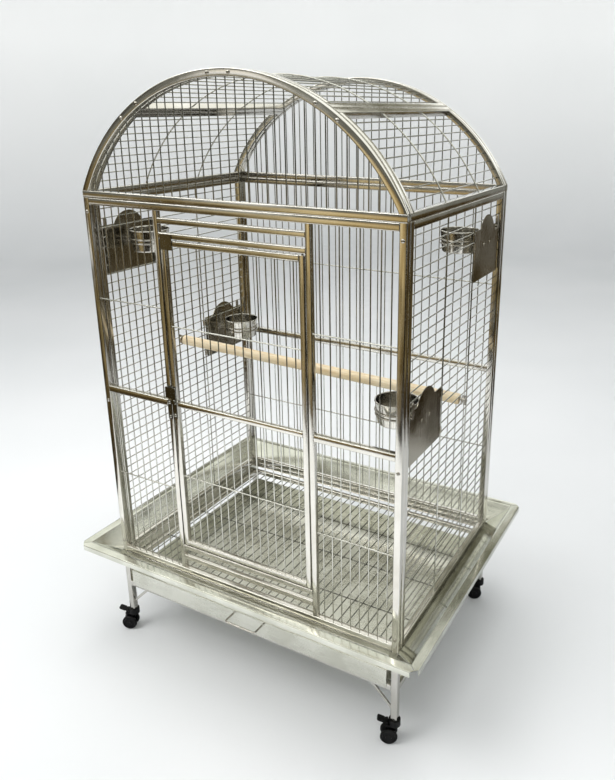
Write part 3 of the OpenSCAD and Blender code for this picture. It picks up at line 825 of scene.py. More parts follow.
@dataclass(frozen=True)
class RoomTone(Finish):
    """Far side of the room, seen only as a reflection in the steel: shadows with paler patches.

    Attributes:
        shade: hex colour of the shadows.
        middle: hex colour between.
        patch: hex colour of the patches.
        strength: how strongly it shines.
    """

    shade: str = "#2A2113"
    middle: str = "#5E4F30"
    patch: str = "#B6A678"
    strength: float = 1.0

    def inputs(self, tree: Tree) -> Dict[object, object]:
        """A glow in patches about a metre wide, and no other shading.

        Args:
            tree: the node tree.

        Returns:
            The shader's inputs.
        """
        patches = self.pattern(tree, (0.9, 0.7, 1.1), detail=3.0)
        stops = [(0.36, self.shade), (0.54, self.middle), (0.68, self.patch)]
        return {
            "Base Color": linear("#000000"),
            "Specular IOR Level": 0.0,
            "Emission Color": ramp(tree, patches, stops),
            "Emission Strength": self.strength,
        }


TUBE_STEEL = StainlessFinish("polished_stainless_tube", "stainless_tube")
WIRE_STEEL = StainlessFinish(
    "drawn_stainless_wire", "stainless_tube", light="#C8C8C2", dull="#B0B0A9",
    smooth=0.07, rough=0.16, line_mm=0.9, run_mm=60.0)
SHEET_STEEL = StainlessFinish(
    "brushed_stainless_sheet", "stainless_sheet", light="#CBCCC3", dull="#B7B8AE",
    smooth=0.09, rough=0.20, line_mm=1.4, run_mm=160.0, depth=0.04)
PLATE_STEEL = StainlessFinish(
    "brushed_stainless_plate", "stainless_sheet", Coords.OBJECT, light="#D9D9D0", dull="#C6C6BB",
    smooth=0.20, rough=0.36, line_mm=1.4, run_mm=160.0, depth=0.05)
# Feeder plates: the brushed sheet made darker and warmer, a painted shade for the dark reflections on them;
# the upright brushing is real.
FEEDER_SHADED_SHEET = StainlessFinish(
    "brushed_feeder_plate", "stainless_sheet", Coords.UPRIGHT, light="#AFAA9C", dull="#989385",
    smooth=0.14, rough=0.30, line_mm=1.6, run_mm=180.0, depth=0.06)
BOWL_STEEL = StainlessFinish(
    "spun_stainless_bowl", "polished_bowl", light="#D2D0CB", dull="#BEBBB3",
    smooth=0.08, rough=0.18, line_mm=400.0, run_mm=1.5)
FITTING_STEEL = StainlessFinish(
    "satin_stainless_fitting", "stainless_fittings", Coords.OBJECT, light="#C3C0BA", dull="#ADA9A1",
    smooth=0.16, rough=0.34, line_mm=1.0, run_mm=8.0)
# Latch and stop plate: polished steel whose colour is made darker than the tubes', a painted shade for the
# dark reflections on them; the low roughness is the real polish.
LATCH_SHADED_STEEL = StainlessFinish(
    "polished_latch_steel", "stainless_fittings", Coords.OBJECT, light="#A9A9A4", dull="#8C8C86",
    smooth=0.05, rough=0.14, line_mm=1.0, run_mm=8.0)
# Grate wires: the wire steel made much darker, a painted shade for the shadow that lies under the cage; their
# roughness is the real finish.
GRATE_SHADED_WIRE = StainlessFinish(
    "dull_grate_wire", "stainless_tube", light="#7C7C75", dull="#63635D",
    smooth=0.16, rough=0.30, line_mm=0.5, run_mm=60.0)
PINE = SandedPine("sanded_pine", "pine")
CASTOR_BLACK = MouldedPlastic("moulded_black_plastic", "castor_plastic", Coords.OBJECT)
TREAD_BLACK = MouldedPlastic(
    "castor_tread_plastic", "castor_tread", Coords.OBJECT, dark="#09090A", scuffed="#1A1A1B",
    smooth=0.28, rough=0.5)
PAPER = StudioPaper("pale_studio_floor", "", Coords.OBJECT)
ROOM = RoomTone("far_room", "", Coords.OBJECT)
CEILING = RoomTone("white_ceiling", "", Coords.OBJECT, "#E8E9E1", "#F2F3EC", "#FCFCF8", 1.7)
DIM_CEILING = RoomTone("dim_ceiling", "", Coords.OBJECT, "#7E7D6C", "#A2A08E", "#BEBCA9")
DARK_ROOM = RoomTone("dark_room", "", Coords.OBJECT, "#120F0A", "#282217", "#554A34")
FAR_WALL = RoomTone("far_wall", "", Coords.OBJECT, "#665635", "#B09C6F", "#E2D5B0")
LIT_WALL = RoomTone("lit_wall", "", Coords.OBJECT, "#A98F5C", "#E0CA96", "#F7EDCF", 1.3)
GREY_WALL = RoomTone("grey_wall", "", Coords.OBJECT, "#4E4E48", "#86867D", "#B0B0A6")
WINDOW = RoomTone("far_window", "", Coords.OBJECT, "#F2EBDD", "#FBF6EA", "#FFFFFF", 1.5)


# Placing


class Workshop:
    """Turns shells into pieces, dresses them and hangs them on their bodies."""

    sharp_deg: float = 38.0

    def piece(self, name: str, shell: Shell, body: str, finish: Finish, replaces: Sequence[str] = ()) -> None:
        """Makes one piece of the cage.

        Args:
            name: name of the piece.
            shell: its surface, in millimetres.
            body: the body that carries it.
            finish: its finish.
            replaces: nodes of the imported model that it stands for.
        """
        made = self.new_object(name, shell, finish)
        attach(made, body)
        if replaces:
            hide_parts(*replaces)
        LOG.info("%s: %d points on %s", name, len(shell.points), body)

    def new_object(self, name: str, shell: Shell, finish: Finish) -> bpy.types.Object:
        """Makes an object at the origin from a shell.

        Args:
            name: name of the object.
            shell: its surface, in millimetres.
            finish: its finish.

        Returns:
            The new object.
        """
        made = bpy.data.objects.new(name, self.mesh(name, shell))
        bpy.context.scene.collection.objects.link(made)
        made.data.materials.append(finish.material())
        return made

    def mesh(self, name: str, shell: Shell) -> bpy.types.Mesh:
        """Puts a shell into a mesh, in metres, with its surface coordinates as a UV map.

        Args:
            name: name of the mesh.
            shell: the surface.

        Returns:
            The mesh, smooth but for edges that turn more than the sharp angle.
        """
        loops = np.concatenate([index.ravel() for index, _ in shell.faces]).astype(np.int32)
        totals = np.concatenate([np.full(len(index), index.shape[1]) for index, _ in shell.faces])
        starts = np.concatenate([[0], np.cumsum(totals)[:-1]]).astype(np.int32)
        uv = np.concatenate([np.asarray(c, float).reshape(-1, 2) for _, c in shell.faces]).astype(np.float32)
        made = bpy.data.meshes.new(name)
        made.vertices.add(len(shell.points))
        made.vertices.foreach_set("co", (shell.points * MM).astype(np.float32).ravel())
        made.loops.add(len(loops))
        made.loops.foreach_set("vertex_index", loops)
        made.polygons.add(len(totals))
        made.polygons.foreach_set("loop_start", starts)
        made.update(calc_edges=True)
        made.uv_layers.new(name="surface").data.foreach_set("uv", uv.ravel())
        made.polygons.foreach_set("use_smooth", np.ones(len(totals), bool))
        made.set_sharp_from_angle(angle=math.radians(self.sharp_deg))
        made.validate()
        return made

    def dress(self, finish: Finish, *nodes: str) -> None:
        """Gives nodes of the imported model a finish.

        Args:
            finish: the finish.
            nodes: the nodes' names.
        """
        for name in nodes:
            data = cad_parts[name].data
            data.materials.clear()
            data.materials.append(finish.material())
            LOG.info("%s: dressed in %s", name, finish.name)


SHOP = Workshop()


def wire_places(clear: float, pitch: float) -> Array:
    """Places of wires at an even pitch, centred in a clear width: (i - (n - 1) / 2) * pitch."""
    n = int(clear // pitch)
    return (np.arange(n) - (n - 1) / 2) * pitch


@dataclass
class Grille:
    """Frame bars and wires of one welded panel, gathered and then drawn."""

    sizes: CageSizes = SIZES
    bars: List[Shell] = field(default_factory=list)
    wires: List[Shell] = field(default_factory=list)

    def tube(self, start: Sequence[float], end: Sequence[float], side: float,
             hint: Optional[Array] = None) -> None:
        """Adds a square tube between two points.

        Args:
            start: first end.
            end: second end.
            side: side of the tube.
            hint: direction that its faces follow; level and upright without one.
        """
        a, b = np.array(start, float), np.array(end, float)
        if hint is None:
            hint = X_AXIS if abs(b - a)[2] > 1 else Z_AXIS
        self.bars.append(runs(a, b, tube_profile(side, self.sizes.tube_r), hint, TUBE_EASE))

    def posts(self, x: float, y: float, za: float, zb: float, side: float) -> None:
        """Adds two upright tubes, at -x and x, between two heights."""
        for i in SIGNS:
            self.tube((i * x, y, za), (i * x, y, zb), side)

    def rails(self, x: float, y: float, levels: Sequence[float], side: float) -> None:
        """Adds level tubes from -x to x, one at each height."""
        for z in levels:
            self.tube((-x, y, z), (x, y, z), side)

    def side_rails(self, x: float, y: float, levels: Sequence[float], side: float) -> None:
        """Adds level tubes from -y to y, one at each height."""
        for z in levels:
            self.tube((x, -y, z), (x, y, z), side)

    def rods(self, starts: Array, ends: Array, diameter: float) -> None:
        """Adds round wires between pairs of points."""
        hint = X_AXIS if abs(ends[0] - starts[0])[0] < 1 else Z_AXIS
        self.wires.append(runs(starts, ends, round_profile(diameter), hint, WIRE_EASE))

    def upright_bays(self, edges: Span, y: float, out: int, heights: Span, rail: float) -> None:
        """Adds a bay of upright wires below and one above the mid rail, each with a cross wire outside it.

        Args:
            edges: left and right edge of the bays.
            y: plane of the wires.
            out: -1 or 1, the outer side.
            heights: lower edge of the low bay and upper edge of the high one.
            rail: height of the mid rail.
        """
        s = self.sizes
        xa, xb = edges
        x = (xa + xb) / 2 + wire_places(xb - xa, s.pitch)
        yc = y + out * s.cross_off
        for za, zb in ((heights[0], s.mid_z - rail / 2), (s.mid_z + rail / 2, heights[1])):
            self.rods(lines(x, y, za), lines(x, y, zb), s.wire_d)
            z = (za + zb) / 2
            self.rods(lines(xa, yc, z), lines(xb, yc, z), s.cross_d)

    def make(self, name: str, body: str, wire: StainlessFinish = WIRE_STEEL) -> None:
        """Makes the frame piece, which stands for the node, and the wire piece that goes with it.

        Args:
            name: name of the node.
            body: the body that carries it.
            wire: finish of the wires.
        """
        SHOP.piece(f"{name}_tubes", joined(self.bars), body, TUBE_STEEL, [name])
        if self.wires:
            SHOP.piece(f"{name}_wires", joined(self.wires), body, wire)


# Sub-assemblies


@dataclass
class Stand:
    """Legs, rails, braces and runners under the cage."""

    sizes: CageSizes = SIZES
    leg_bottom: float = 80.0
    rail_drop: float = 115.0
    brace_reach: float = 72.0
    brace_flat: float = 12.0
    brace_t: float = 5.0
    brace_ease: float = 0.5

    def build(self) -> None:
        """Makes the stand's pieces."""
        s = self.sizes
        legs, rails = Grille(), Grille()
        levels = (s.z0 - s.tube / 2, s.z0 - self.rail_drop - s.tube / 2)
        for j in SIGNS:
            legs.posts(s.wall_x, j * s.wall_y, self.leg_bottom, s.z0, s.tube)
            rails.rails(s.xi, j * s.wall_y, levels, s.tube)
            rails.side_rails(j * s.wall_x, s.yi, levels, s.tube)
        legs.make("stand_legs", "cage_body")
        rails.make("stand_rails", "cage_body")
        SHOP.piece("leg_brace_bars", self.braces(), "cage_body", TUBE_STEEL, ["leg_braces"])
        SHOP.dress(PLATE_STEEL, "slide_runners")
        SHOP.dress(FITTING_STEEL, "castor_stems")

    def braces(self) -> Shell:
        """Flat bars across the corners of legs and lower rail: a four-sided outline given a thickness.

        Returns:
            The four bars.
        """
        s = self.sizes
        z = s.z0 - self.rail_drop - s.tube
        far = self.brace_reach
        near = far - self.brace_flat
        outline = np.array([[s.xi - far, z], [s.xi, z - far], [s.xi, z - near], [s.xi - near, z]])
        flat = plate(outline, self.brace_t, self.brace_ease)
        upright = placed(flat, [0, self.brace_t / 2, 0], [X_AXIS, Z_AXIS, -Y_AXIS])
        return joined([placed(mirrored(upright, i), [0, j * s.wall_y, 0]) for i in SIGNS for j in SIGNS])


@dataclass
class SeedGuards:
    """Four sloping guards round the base, each folded from one sheet, mitred and cut off at its corners."""

    sizes: CageSizes = SIZES
    out: float = 94.0
    rise: float = 48.0
    lip: float = 25.0
    fold: float = 18.0
    flange: float = 18.0
    foot: float = 0.4
    bend: float = 2.2
    gap: float = 1.0
    cut: float = 18.0

    def build(self) -> None:
        """Makes the four guards."""
        s = self.sizes
        ends, flanks = (s.xo, s.yo), (s.yo, s.xo)
        turns = {"front": (ends, 180), "back": (ends, 0), "left": (flanks, 90), "right": (flanks, -90)}
        for name, ((half, reach), turn) in turns.items():
            c, d = math.cos(math.radians(turn)), math.sin(math.radians(turn))
            shell = placed(self.guard(half, reach), [0, 0, 0], [[c, d, 0], [-d, c, 0], [0, 0, 1]])
            SHOP.piece(f"seed_guard_sheet_{name}", shell, "cage_body", SHEET_STEEL, [f"seed_guard_{name}"])

    def guard(self, half: float, reach: float) -> Shell:
        """One guard along X: flange, slope, flat lip and turned down edge.

        Its ends follow the mitre, half + out, as far as the corner cut, half + 2 out_max - cut - out.

        Args:
            half: half length of the cage side that it runs along.
            reach: distance of that side from the middle.

        Returns:
            The shell.
        """
        t = self.sizes.sheet
        top, edge = self.rise - t / 2, self.out - t / 2
        line = np.array([[t / 2, -self.flange], [t / 2, self.foot], [self.out - self.lip, top],
                         [self.out - self.cut / 2, top], [edge, top], [edge, self.rise - self.fold]])
        section = sheet_profile(rounded_path(line, self.bend), t)
        out = np.clip(section[:, 0], 0, self.out)
        end = half - self.gap + np.minimum(out, 2 * self.out - self.cut - out)
        return ruled(section + [reach, self.sizes.z0], -end, end)


@dataclass
class Walls:
    """Front, back and side panels of the cage body.

    Attributes:
        row_low_share: height of the low feeder gates, as a share of the side wires.
        row_high_share: height of the high ones.
        row_span: wire steps that a gate spans.
        gate_near: from a hinge wire to the near edge of its gate.
        gate_far: from the feeder plate's far edge to that of the gate.
        hinge_clear: gap between hinge wires and side wires.
    """

    sizes: CageSizes = SIZES
    row_low_share: float = 0.45
    row_high_share: float = 0.81
    row_span: int = 5
    gate_near: float = 14.0
    gate_far: float = 2.0
    hinge_clear: float = 0.04

    def build(self) -> None:
        """Makes the four panels."""
        panels = {"front": self.front(), "back": self.back(), "right": self.side(1), "left": self.side(-1)}
        for name, panel in panels.items():
            panel.make(f"{name}_panel", "cage_body")

    def front(self) -> Grille:
        """Front panel: posts, rails, door jambs, bars over and under the door, two bays of wires a side.

        Returns:
            The panel.
        """
        s, g = self.sizes, Grille()
        y, t, b = -s.wall_y, s.tube, s.bar
        inner, outer = s.door_open_w / 2, s.door_open_w / 2 + b
        low, top = s.z0 + t, s.z1 - t
        transom = top - s.transom_gap - b / 2
        header = transom - s.header_gap - b
        sill_b = low + s.sill_gap + b / 2
        sill_a = sill_b + b + s.sill_gap_2
        g.posts(s.wall_x, y, s.z0, s.z1, t)
        g.posts(inner + b / 2, y, low, top, b)
        g.rails(s.xi, y, (s.z0 + t / 2, s.z1 - t / 2), t)
        g.rails(inner, y, (transom, header, sill_a, sill_b), b)
        for i in SIGNS:
            g.tube((i * outer, y, s.mid_z), (i * s.xi, y, s.mid_z), t)
            g.upright_bays(tuple(sorted((i * outer, i * s.xi))), y, -1, (low, top), t)
        return g

    def back(self) -> Grille:
        """Back panel: posts, three rails and two bays of upright wires.

        Returns:
            The panel.
        """
        s, g = self.sizes, Grille()
        y, t = s.wall_y, s.tube
        g.posts(s.wall_x, y, s.z0, s.z1, t)
        g.rails(s.xi, y, (s.z0 + t / 2, s.mid_z, s.z1 - t / 2), t)
        g.upright_bays((-s.xi, s.xi), y, 1, (s.z0 + t, s.z1 - t), t)
        return g

    def side(self, sign: int) -> Grille:
        """Side panel with level wires cut away at its two feeder gates.

        Args:
            sign: 1 for the right wall; -1 for the left wall, which is the right one turned half round.

        Returns:
            The panel.
        """
        s, g = self.sizes, Grille()
        x, t, r = sign * s.wall_x, s.tube, s.cross_d / 2
        ye = s.side_y - t
        z = s.mid_z + wire_places(s.panel_h - 2 * t, s.pitch)
        low, high = int(len(z) * self.row_low_share), int(len(z) * self.row_high_share)
        near, far = s.hinge_y + self.gate_near, s.hinge_y + s.feeder_w + self.gate_far
        for j in SIGNS:
            g.tube((x, j * (s.side_y - t / 2), s.z0), (x, j * (s.side_y - t / 2), s.z1), t)
        g.side_rails(x, ye, (s.z0 + t / 2, s.z1 - t / 2), t)
        k = np.arange(len(z))
        in_high = (k > high) & (k < high + self.row_span)
        in_low = (k > low) & (k < low + self.row_span)
        for keep, a, b in ((~(in_high | in_low), -ye, ye), (in_high, -ye, near - r), (in_high, far + r, ye),
                           (in_low, -ye, -far - r), (in_low, -near + r, ye)):
            g.rods(lines(x, sign * a, z[keep]), lines(x, sign * b, z[keep]), s.wire_d)
        hinge_x = sign * (s.wall_x + (s.wire_d + s.cross_d) / 2 + self.hinge_clear)
        ys = np.array([-s.hinge_y, s.hinge_y])
        g.rods(lines(hinge_x, ys, s.z0 + t), lines(hinge_x, ys, s.z1 - t), s.cross_d)
        for level, end in ((high, 1), (low, -1)):
            ys = sign * end * np.array([near, far])
            g.rods(lines(x, ys, z[level]), lines(x, ys, z[level + self.row_span]), s.cross_d)
        return g


@dataclass
class Dome:
    """Arched ends, the three curved roof panels and the bolts that hold the panels.

    Attributes:
        cross_part: the curved cross wires stand this part of the depth from the middle.
        bolt_edge: height of a bolt over or under the edge of its panel.
        bolt_crown_deg: angle of the top bolts from the crown.
        bolt_joint_deg: angle of the other bolts from a roof joint.
        bolt_head: radius and height along a bolt head.
        socket_row: first row of bolt_head that lies in the socket.
        socket_share: size of the socket's flats.
    """

    sizes: CageSizes = SIZES
    arch_steps: int = 96
    cross_part: float = 6.0
    bolt_edge: float = 40.0
    bolt_crown_deg: float = 3.3
    bolt_joint_deg: float = 3.5
    bolt_head: Tuple[Span, ...] = ((5.0, 0.0), (5.0, 0.9), (4.6, 1.8), (3.7, 2.5), (2.1, 2.95), (2.0, 1.4))
    bolt_turn: int = 24
    socket_row: int = 4
    socket_share: float = 0.88

    def build(self) -> None:
        """Makes the five panels and the bolts."""
        panels = {"dome_front": self.end(-1), "dome_back": self.end(1), "roof_right": self.roof_side(1),
                  "roof_left": self.roof_side(-1), "roof_top": self.roof_top()}
        for name, panel in panels.items():
            panel.make(name, "cage_body")
        SHOP.piece("panel_bolt_heads", self.bolts(), "cage_body", FITTING_STEEL, ["panel_bolts"])

    @property
    def section(self) -> Array:
        """Section of the frame tubes."""
        return tube_profile(self.sizes.tube, self.sizes.tube_r)

    @property
    def tube_half(self) -> float:
        """Angle of half a tube on the dome's inner face."""
        s = self.sizes
        return math.asin(s.tube / 2 / (s.dome_r - s.tube))

    @property
    def joint_half(self) -> float:
        """Angle from a roof joint to the middle of the tube beside it."""
        return self.tube_half + math.asin(self.sizes.seam / 2 / self.sizes.dome_rm)

    def level_cut(self, profile: Array) -> Array:
        """Angle at which each point of a section on the arc meets the base rails: asin((z - c) / (R + p))."""
        s = self.sizes
        return np.arcsin((s.dome_z - s.dome_c) / (s.dome_rm + profile[:, 0]))

    def end(self, sign: int) -> Grille:
        """Arched end: base rail, arch tube with level feet, and upright wires up to the arch.

        Args:
            sign: -1 for the front, 1 for the back.

        Returns:
            The panel.
        """
        s, g = self.sizes, Grille()
        y = sign * s.wall_y
        g.rails(s.xo, y, (s.z1 + s.tube / 2,), s.tube)
        low = self.level_cut(self.section)
        g.bars.append(arc_run(self.section, low, np.pi - low, y, s, self.arch_steps))
        inner = s.dome_rm - s.tube / 2
        x = wire_places(2 * math.sqrt(inner ** 2 - (s.dome_z - s.dome_c) ** 2), s.pitch)
        g.rods(lines(x, y, s.dome_z), lines(x, y, s.dome_c + np.sqrt(inner ** 2 - x ** 2)), s.wire_d)
        return g

    def rail(self, g: Grille, angle: float) -> None:
        """Adds a straight roof tube along Y, turned to face outwards.

        Args:
            g: the panel.
            angle: its angle on the dome, in radians.
        """
        s = self.sizes
        out = np.array([math.cos(angle), 0, math.sin(angle)])
        at = s.dome_c * Z_AXIS + s.dome_rm * out
        g.tube(at - s.side_y * Y_AXIS, at + s.side_y * Y_AXIS, s.tube, out)

    def skin(self, g: Grille, a0: float, a1: float, level: bool) -> None:
        """Adds end tubes, long wires and two curved cross wires between two angles.

        Args:
            g: the panel.
            a0: lower angle in radians.
            a1: upper angle.
            level: True where end tubes and cross wires are cut level at the lower angle.
        """
        s = self.sizes
        wire = round_profile(s.cross_d) + [s.cross_off, 0]
        for profile, y, kind in ((self.section, s.side_y - s.tube / 2, g.bars),
                                 (wire, s.cage_d / self.cross_part, g.wires)):
            low = self.level_cut(profile) if level else np.full(len(profile), a0)
            high = np.full(len(profile), a1)
            kind += [arc_run(profile, low, high, j * y, s) for j in SIGNS]
        a = (a0 + a1) / 2 + wire_places((a1 - a0) * s.dome_rm, s.pitch) / s.dome_rm
        x, z = s.dome_rm * np.cos(a), s.dome_c + s.dome_rm * np.sin(a)
        g.rods(lines(x, -s.side_y + s.tube, z), lines(x, s.side_y - s.tube, z), s.wire_d)

    def roof_side(self, sign: int) -> Grille:
        """Curved panel from a base rail to the roof joint.

        Args:
            sign: 1 for the right panel, -1 for the left.

        Returns:
            The panel.
        """
        s, g = self.sizes, Grille()
        joint = math.radians(90 - s.roof_split) - self.joint_half
        g.side_rails(s.wall_x, s.side_y, (s.z1 + s.tube / 2,), s.tube)
        self.rail(g, joint)
        self.skin(g, math.asin((s.dome_z - s.dome_c) / s.dome_rm), joint - self.tube_half, True)
        g.bars = [mirrored(b, sign) for b in g.bars]
        g.wires = [mirrored(w, sign) for w in g.wires]
        return g

    def roof_top(self) -> Grille:
        """Curved panel over the top, between the two roof joints.

        Returns:
            The panel.
        """
        g = Grille()
        joint = math.radians(90 - self.sizes.roof_split) + self.joint_half
        self.rail(g, joint)
        self.rail(g, math.pi - joint)
        low = joint + self.tube_half
        self.skin(g, low, math.pi - low, False)
        return g

    def hexagon(self, row: Array, t: Array) -> Array:
        """Factor on a bolt head's radius, in its socket share / cos of the angle from a flat's middle."""
        flat = np.mod(t + np.pi / 6, np.pi / 3) - np.pi / 6
        return np.where(row >= self.socket_row, self.socket_share / np.cos(flat), 1.0)

    def bolts(self) -> Shell:
        """Button heads with a hexagon socket, on the corner posts and the arches.

        Returns:
            All the heads.
        """
        s = self.sizes
        head = revolved(np.array(self.bolt_head), self.bolt_turn, self.hexagon)
        heights = (s.z0 + self.bolt_edge, s.mid_z - self.bolt_edge, s.z1 - self.bolt_edge)
        spots = [(s.wall_x, z) for z in heights]
        near = self.bolt_joint_deg
        for angle in (self.bolt_crown_deg, s.roof_split - near, s.roof_split + near):
            r = math.radians(angle)
            spots.append((s.dome_rm * math.sin(r), s.dome_c + s.dome_rm * math.cos(r)))
        return joined([placed(head, [i * x, j * s.yo, z], [X_AXIS, -j * Z_AXIS, j * Y_AXIS])
                       for j in SIGNS for i in SIGNS for x, z in spots])


@dataclass
class Door:
    """Front door: frame, wires, stop plate and latch."""

    sizes: CageSizes = SIZES

    def build(self) -> None:
        """Makes the door and dresses its small pieces."""
        s, g = self.sizes, Grille()
        y, b = -s.wall_y, s.bar
        half = s.door_open_w / 2 - s.door_gap
        z0 = s.z0 + s.tube + s.sill_gap + s.sill_gap_2 + 2 * b + s.door_gap
        z1 = s.z1 - s.tube - s.transom_gap - s.header_gap - 2 * b - s.door_gap
        edge = half - b
        g.posts(half - b / 2, y, z0, z1, b)
        g.rails(edge, y, (z0 + b / 2, s.mid_z, z1 - b / 2), b)
        g.upright_bays((-edge, edge), y, -1, (z0 + b, z1 - b), b)
        g.make("door_panel", "door")
        # Latch pieces and stop plate wear the darkened polished steel: painted shade.
        SHOP.dress(LATCH_SHADED_STEEL, "door_stop", "latch_base", "latch_keeper", "latch_lever")
        SHOP.dress(FITTING_STEEL, "door_pins")


@dataclass
class TrayAndGrate:
    """Drawer tray with its loop handle, and the floor grate above it."""

    sizes: CageSizes = SIZES
    side_gap: float = 2.0
    front_gap: float = 1.0
    back_gap: float = 4.0
    drop: float = 5.0
    wire_lift: float = 1.0
    cross_shares: Point = (0.25, 0.5, 0.75)

    def build(self) -> None:
        """Makes the grate and dresses the tray."""
        s, g = self.sizes, Grille()
        b = s.bar
        gx, ya, yb = s.xi - s.sheet - self.side_gap, -s.yo + self.front_gap, s.yi - self.back_gap
        z = s.z0 - s.tube - self.drop - b / 2
        for i in SIGNS:
            g.tube((i * (gx - b / 2), ya, z), (i * (gx - b / 2), yb, z), b)
        for y in (ya + b / 2, yb - b / 2):
            g.rails(gx - b, y, (z,), b)
        x, zw = wire_places(2 * (gx - b), s.pitch), z + self.wire_lift
        g.rods(lines(x, ya + b, zw), lines(x, yb - b, zw), s.wire_d)
        ys, zc = ya + (yb - ya) * np.array(self.cross_shares), zw - s.cross_off
        g.rods(lines(-gx + b, ys, zc), lines(gx - b, ys, zc), s.cross_d)
        # The grate's wires wear the darkened steel: painted shade under the cage.
        g.make("grate", "floor_grate", GRATE_SHADED_WIRE)
        SHOP.dress(PLATE_STEEL, "tray")
        SHOP.dress(FITTING_STEEL, "tray_handle")


@dataclass
class Perch:
    """Turned pine perch, a little skew between the side walls.

    Attributes:
        left: Y and Z of its left end.
        right: Y and Z of its right end.
        clear_end: room between the wall's middle plane and the wood.
        ease_steps: distances from an end at which its easing has points.
        ease_cuts: how far the first two lie inside the full radius.
        body_cut: the same for the rest.
    """

    sizes: CageSizes = SIZES
    diameter: float = 33.0
    left: Span = (-12.0, 951.5)
    right: Span = (66.0, 895.5)
    clear_end: float = 4.15
    ease_steps: Point = (0.0, 0.6, 2.0)
    ease_cuts: Span = (2.2, 0.8)
    body_cut: float = 0.1
    plain_end: float = 8.0
    rows: int = 60
    turn_steps: int = 40
    waver_share: float = 0.003
    waver_step: float = 0.35

    def build(self) -> None:
        """Makes the perch and dresses its fixings."""
        SHOP.piece("perch_dowel", self.dowel(), "cage_body", PINE, ["perch"])
        SHOP.dress(FITTING_STEEL, "perch_fixings")

    def waver(self, row: Array, t: Array) -> Array:
        """Slow hand-turned unevenness within the radius: 1 - share * (1 + sin(row * step + 2 sin t))."""
        body = (row >= len(self.ease_steps)) & (row < len(self.ease_steps) + self.rows)
        return 1 - self.waver_share * (1 + np.sin(row * self.waver_step + 2 * np.sin(t))) * body

    def dowel(self) -> Shell:
        """Round bar with eased ends; its radius wavers by half a percent along and round the bar.

        Returns:
            The bar.
        """
        s = self.sizes
        a = np.array([-s.wall_x, *self.left])
        b = np.array([s.wall_x, *self.right])
        axis = unit(b - a)
        span = np.linalg.norm(b - a) - 2 * self.clear_end
        ease = np.array(self.ease_steps)
        body = np.linspace(self.plain_end, span - self.plain_end, self.rows)
        z = np.concatenate([ease, body, span - ease[::-1]])
        radius = np.full(len(z), self.diameter / 2 - self.body_cut)
        for row, cut in enumerate(self.ease_cuts):
            radius[[row, -1 - row]] = self.diameter / 2 - cut
        side = unit(np.cross(Z_AXIS, axis))
        bar = revolved(np.stack([radius, z], axis=1), self.turn_steps, self.waver)
        return placed(bar, a + axis * self.clear_end, [side, np.cross(axis, side), axis])


@dataclass
class Feeders:
    """Four swing-out feeder doors, each with its rings, thumb latch and bowl.

    Attributes:
        bowl_in: from a side wall to the middle of a bowl.
        bowl_lead: how far that lies past the middle of the feeder plate.
        taper: how much narrower a bowl is at its base.
        bead_in: from the bowl's edge to the middle of the rolled rim.
        bead_end: end of the roll, in half turns.
        throat_drop: depth at which the inside leaves the rim.
        throat_gap: room between rim and inside there.
        centre_r: radius of the flat discs in the middle.
    """

    sizes: CageSizes = SIZES
    bowl_in: float = 80.0
    bowl_lead: float = 7.0
    bowl_r: float = 61.0
    bowl_h: float = 66.0
    bowl_wall: float = 1.2
    taper: float = 9.0
    heel_r: float = 4.0
    heel_steps: int = 5
    bead_r: float = 1.9
    bead_in: float = 2.0
    bead_end: float = 0.9
    bead_steps: int = 9
    throat_drop: float = 6.0
    throat_gap: float = 0.4
    centre_r: float = 3.0
    turn_steps: int = 64
    rim_low: float = 983.5
    rim_high: float = 1375.5

    def build(self) -> None:
        """Makes the bowls and dresses the doors, rings and latches."""
        s = self.sizes
        bowl_x, bowl_y = s.wall_x - self.bowl_in, s.hinge_y + s.feeder_w / 2 + self.bowl_lead
        for corner in Corner:
            tag = corner.feeder_tag
            i, j = corner.value
            foot = (self.rim_high if corner.feeder_high else self.rim_low) - self.bowl_h
            bowl = placed(self.bowl(), [i * bowl_x, j * bowl_y, foot])
            SHOP.piece(f"steel_bowl_{tag}", bowl, f"feed_bowl_{tag}", BOWL_STEEL, [f"bowl_{tag}"])
            # The feeder doors wear the darkened sheet steel: painted shade.
            SHOP.dress(FEEDER_SHADED_SHEET, f"feeder_door_{tag}")
            SHOP.dress(FITTING_STEEL, f"bowl_ring_{tag}", f"feeder_latch_{tag}")

    def bowl(self) -> Shell:
        """Spun bowl: flat base, curved heel, flared wall, rolled rim, and the inside a wall's thickness away.

        Returns:
            The bowl, standing on Z 0.
        """
        wall, heel_r = self.bowl_wall, self.heel_r
        bead_x, bead_z = self.bowl_r - self.bead_in, self.bowl_h - self.bead_in
        heel = np.linspace(0, np.pi / 2, self.heel_steps)
        arc = np.stack([np.sin(heel), -np.cos(heel)], axis=1)
        roll = np.linspace(-np.pi / 2, np.pi * self.bead_end, self.bead_steps)
        turn = [self.bowl_r - self.taper - heel_r, heel_r]
        profile = np.concatenate([
            [[self.centre_r, 0.0]],
            turn + heel_r * arc,
            [bead_x, bead_z] + self.bead_r * np.stack([np.cos(roll), np.sin(roll)], axis=1),
            [[bead_x - wall - self.throat_gap, self.bowl_h - self.throat_drop]],
            turn + (heel_r - wall) * arc[::-1],
            [[self.centre_r, wall]],
        ])
        return revolved(profile, self.turn_steps)


@dataclass
class Castors:
    """Four black castors with swivel fork, twin wheels and brake pedal."""

    def build(self) -> None:
        """Dresses the castors."""
        for corner in Corner:
            tag = corner.castor_tag
            SHOP.dress(CASTOR_BLACK, f"castor_fork_{tag}", f"castor_brake_{tag}")
            SHOP.dress(TREAD_BLACK, f"castor_wheel_{tag}")


# Studio


def aimed(right: Array, up: Array, back: Array, place: Point) -> Matrix:
    """World matrix of a lamp or camera at a place, from its three axes."""
    rows = np.stack([right, up, back, place], axis=1)
    return Matrix([*rows.tolist(), [0, 0, 0, 1]])


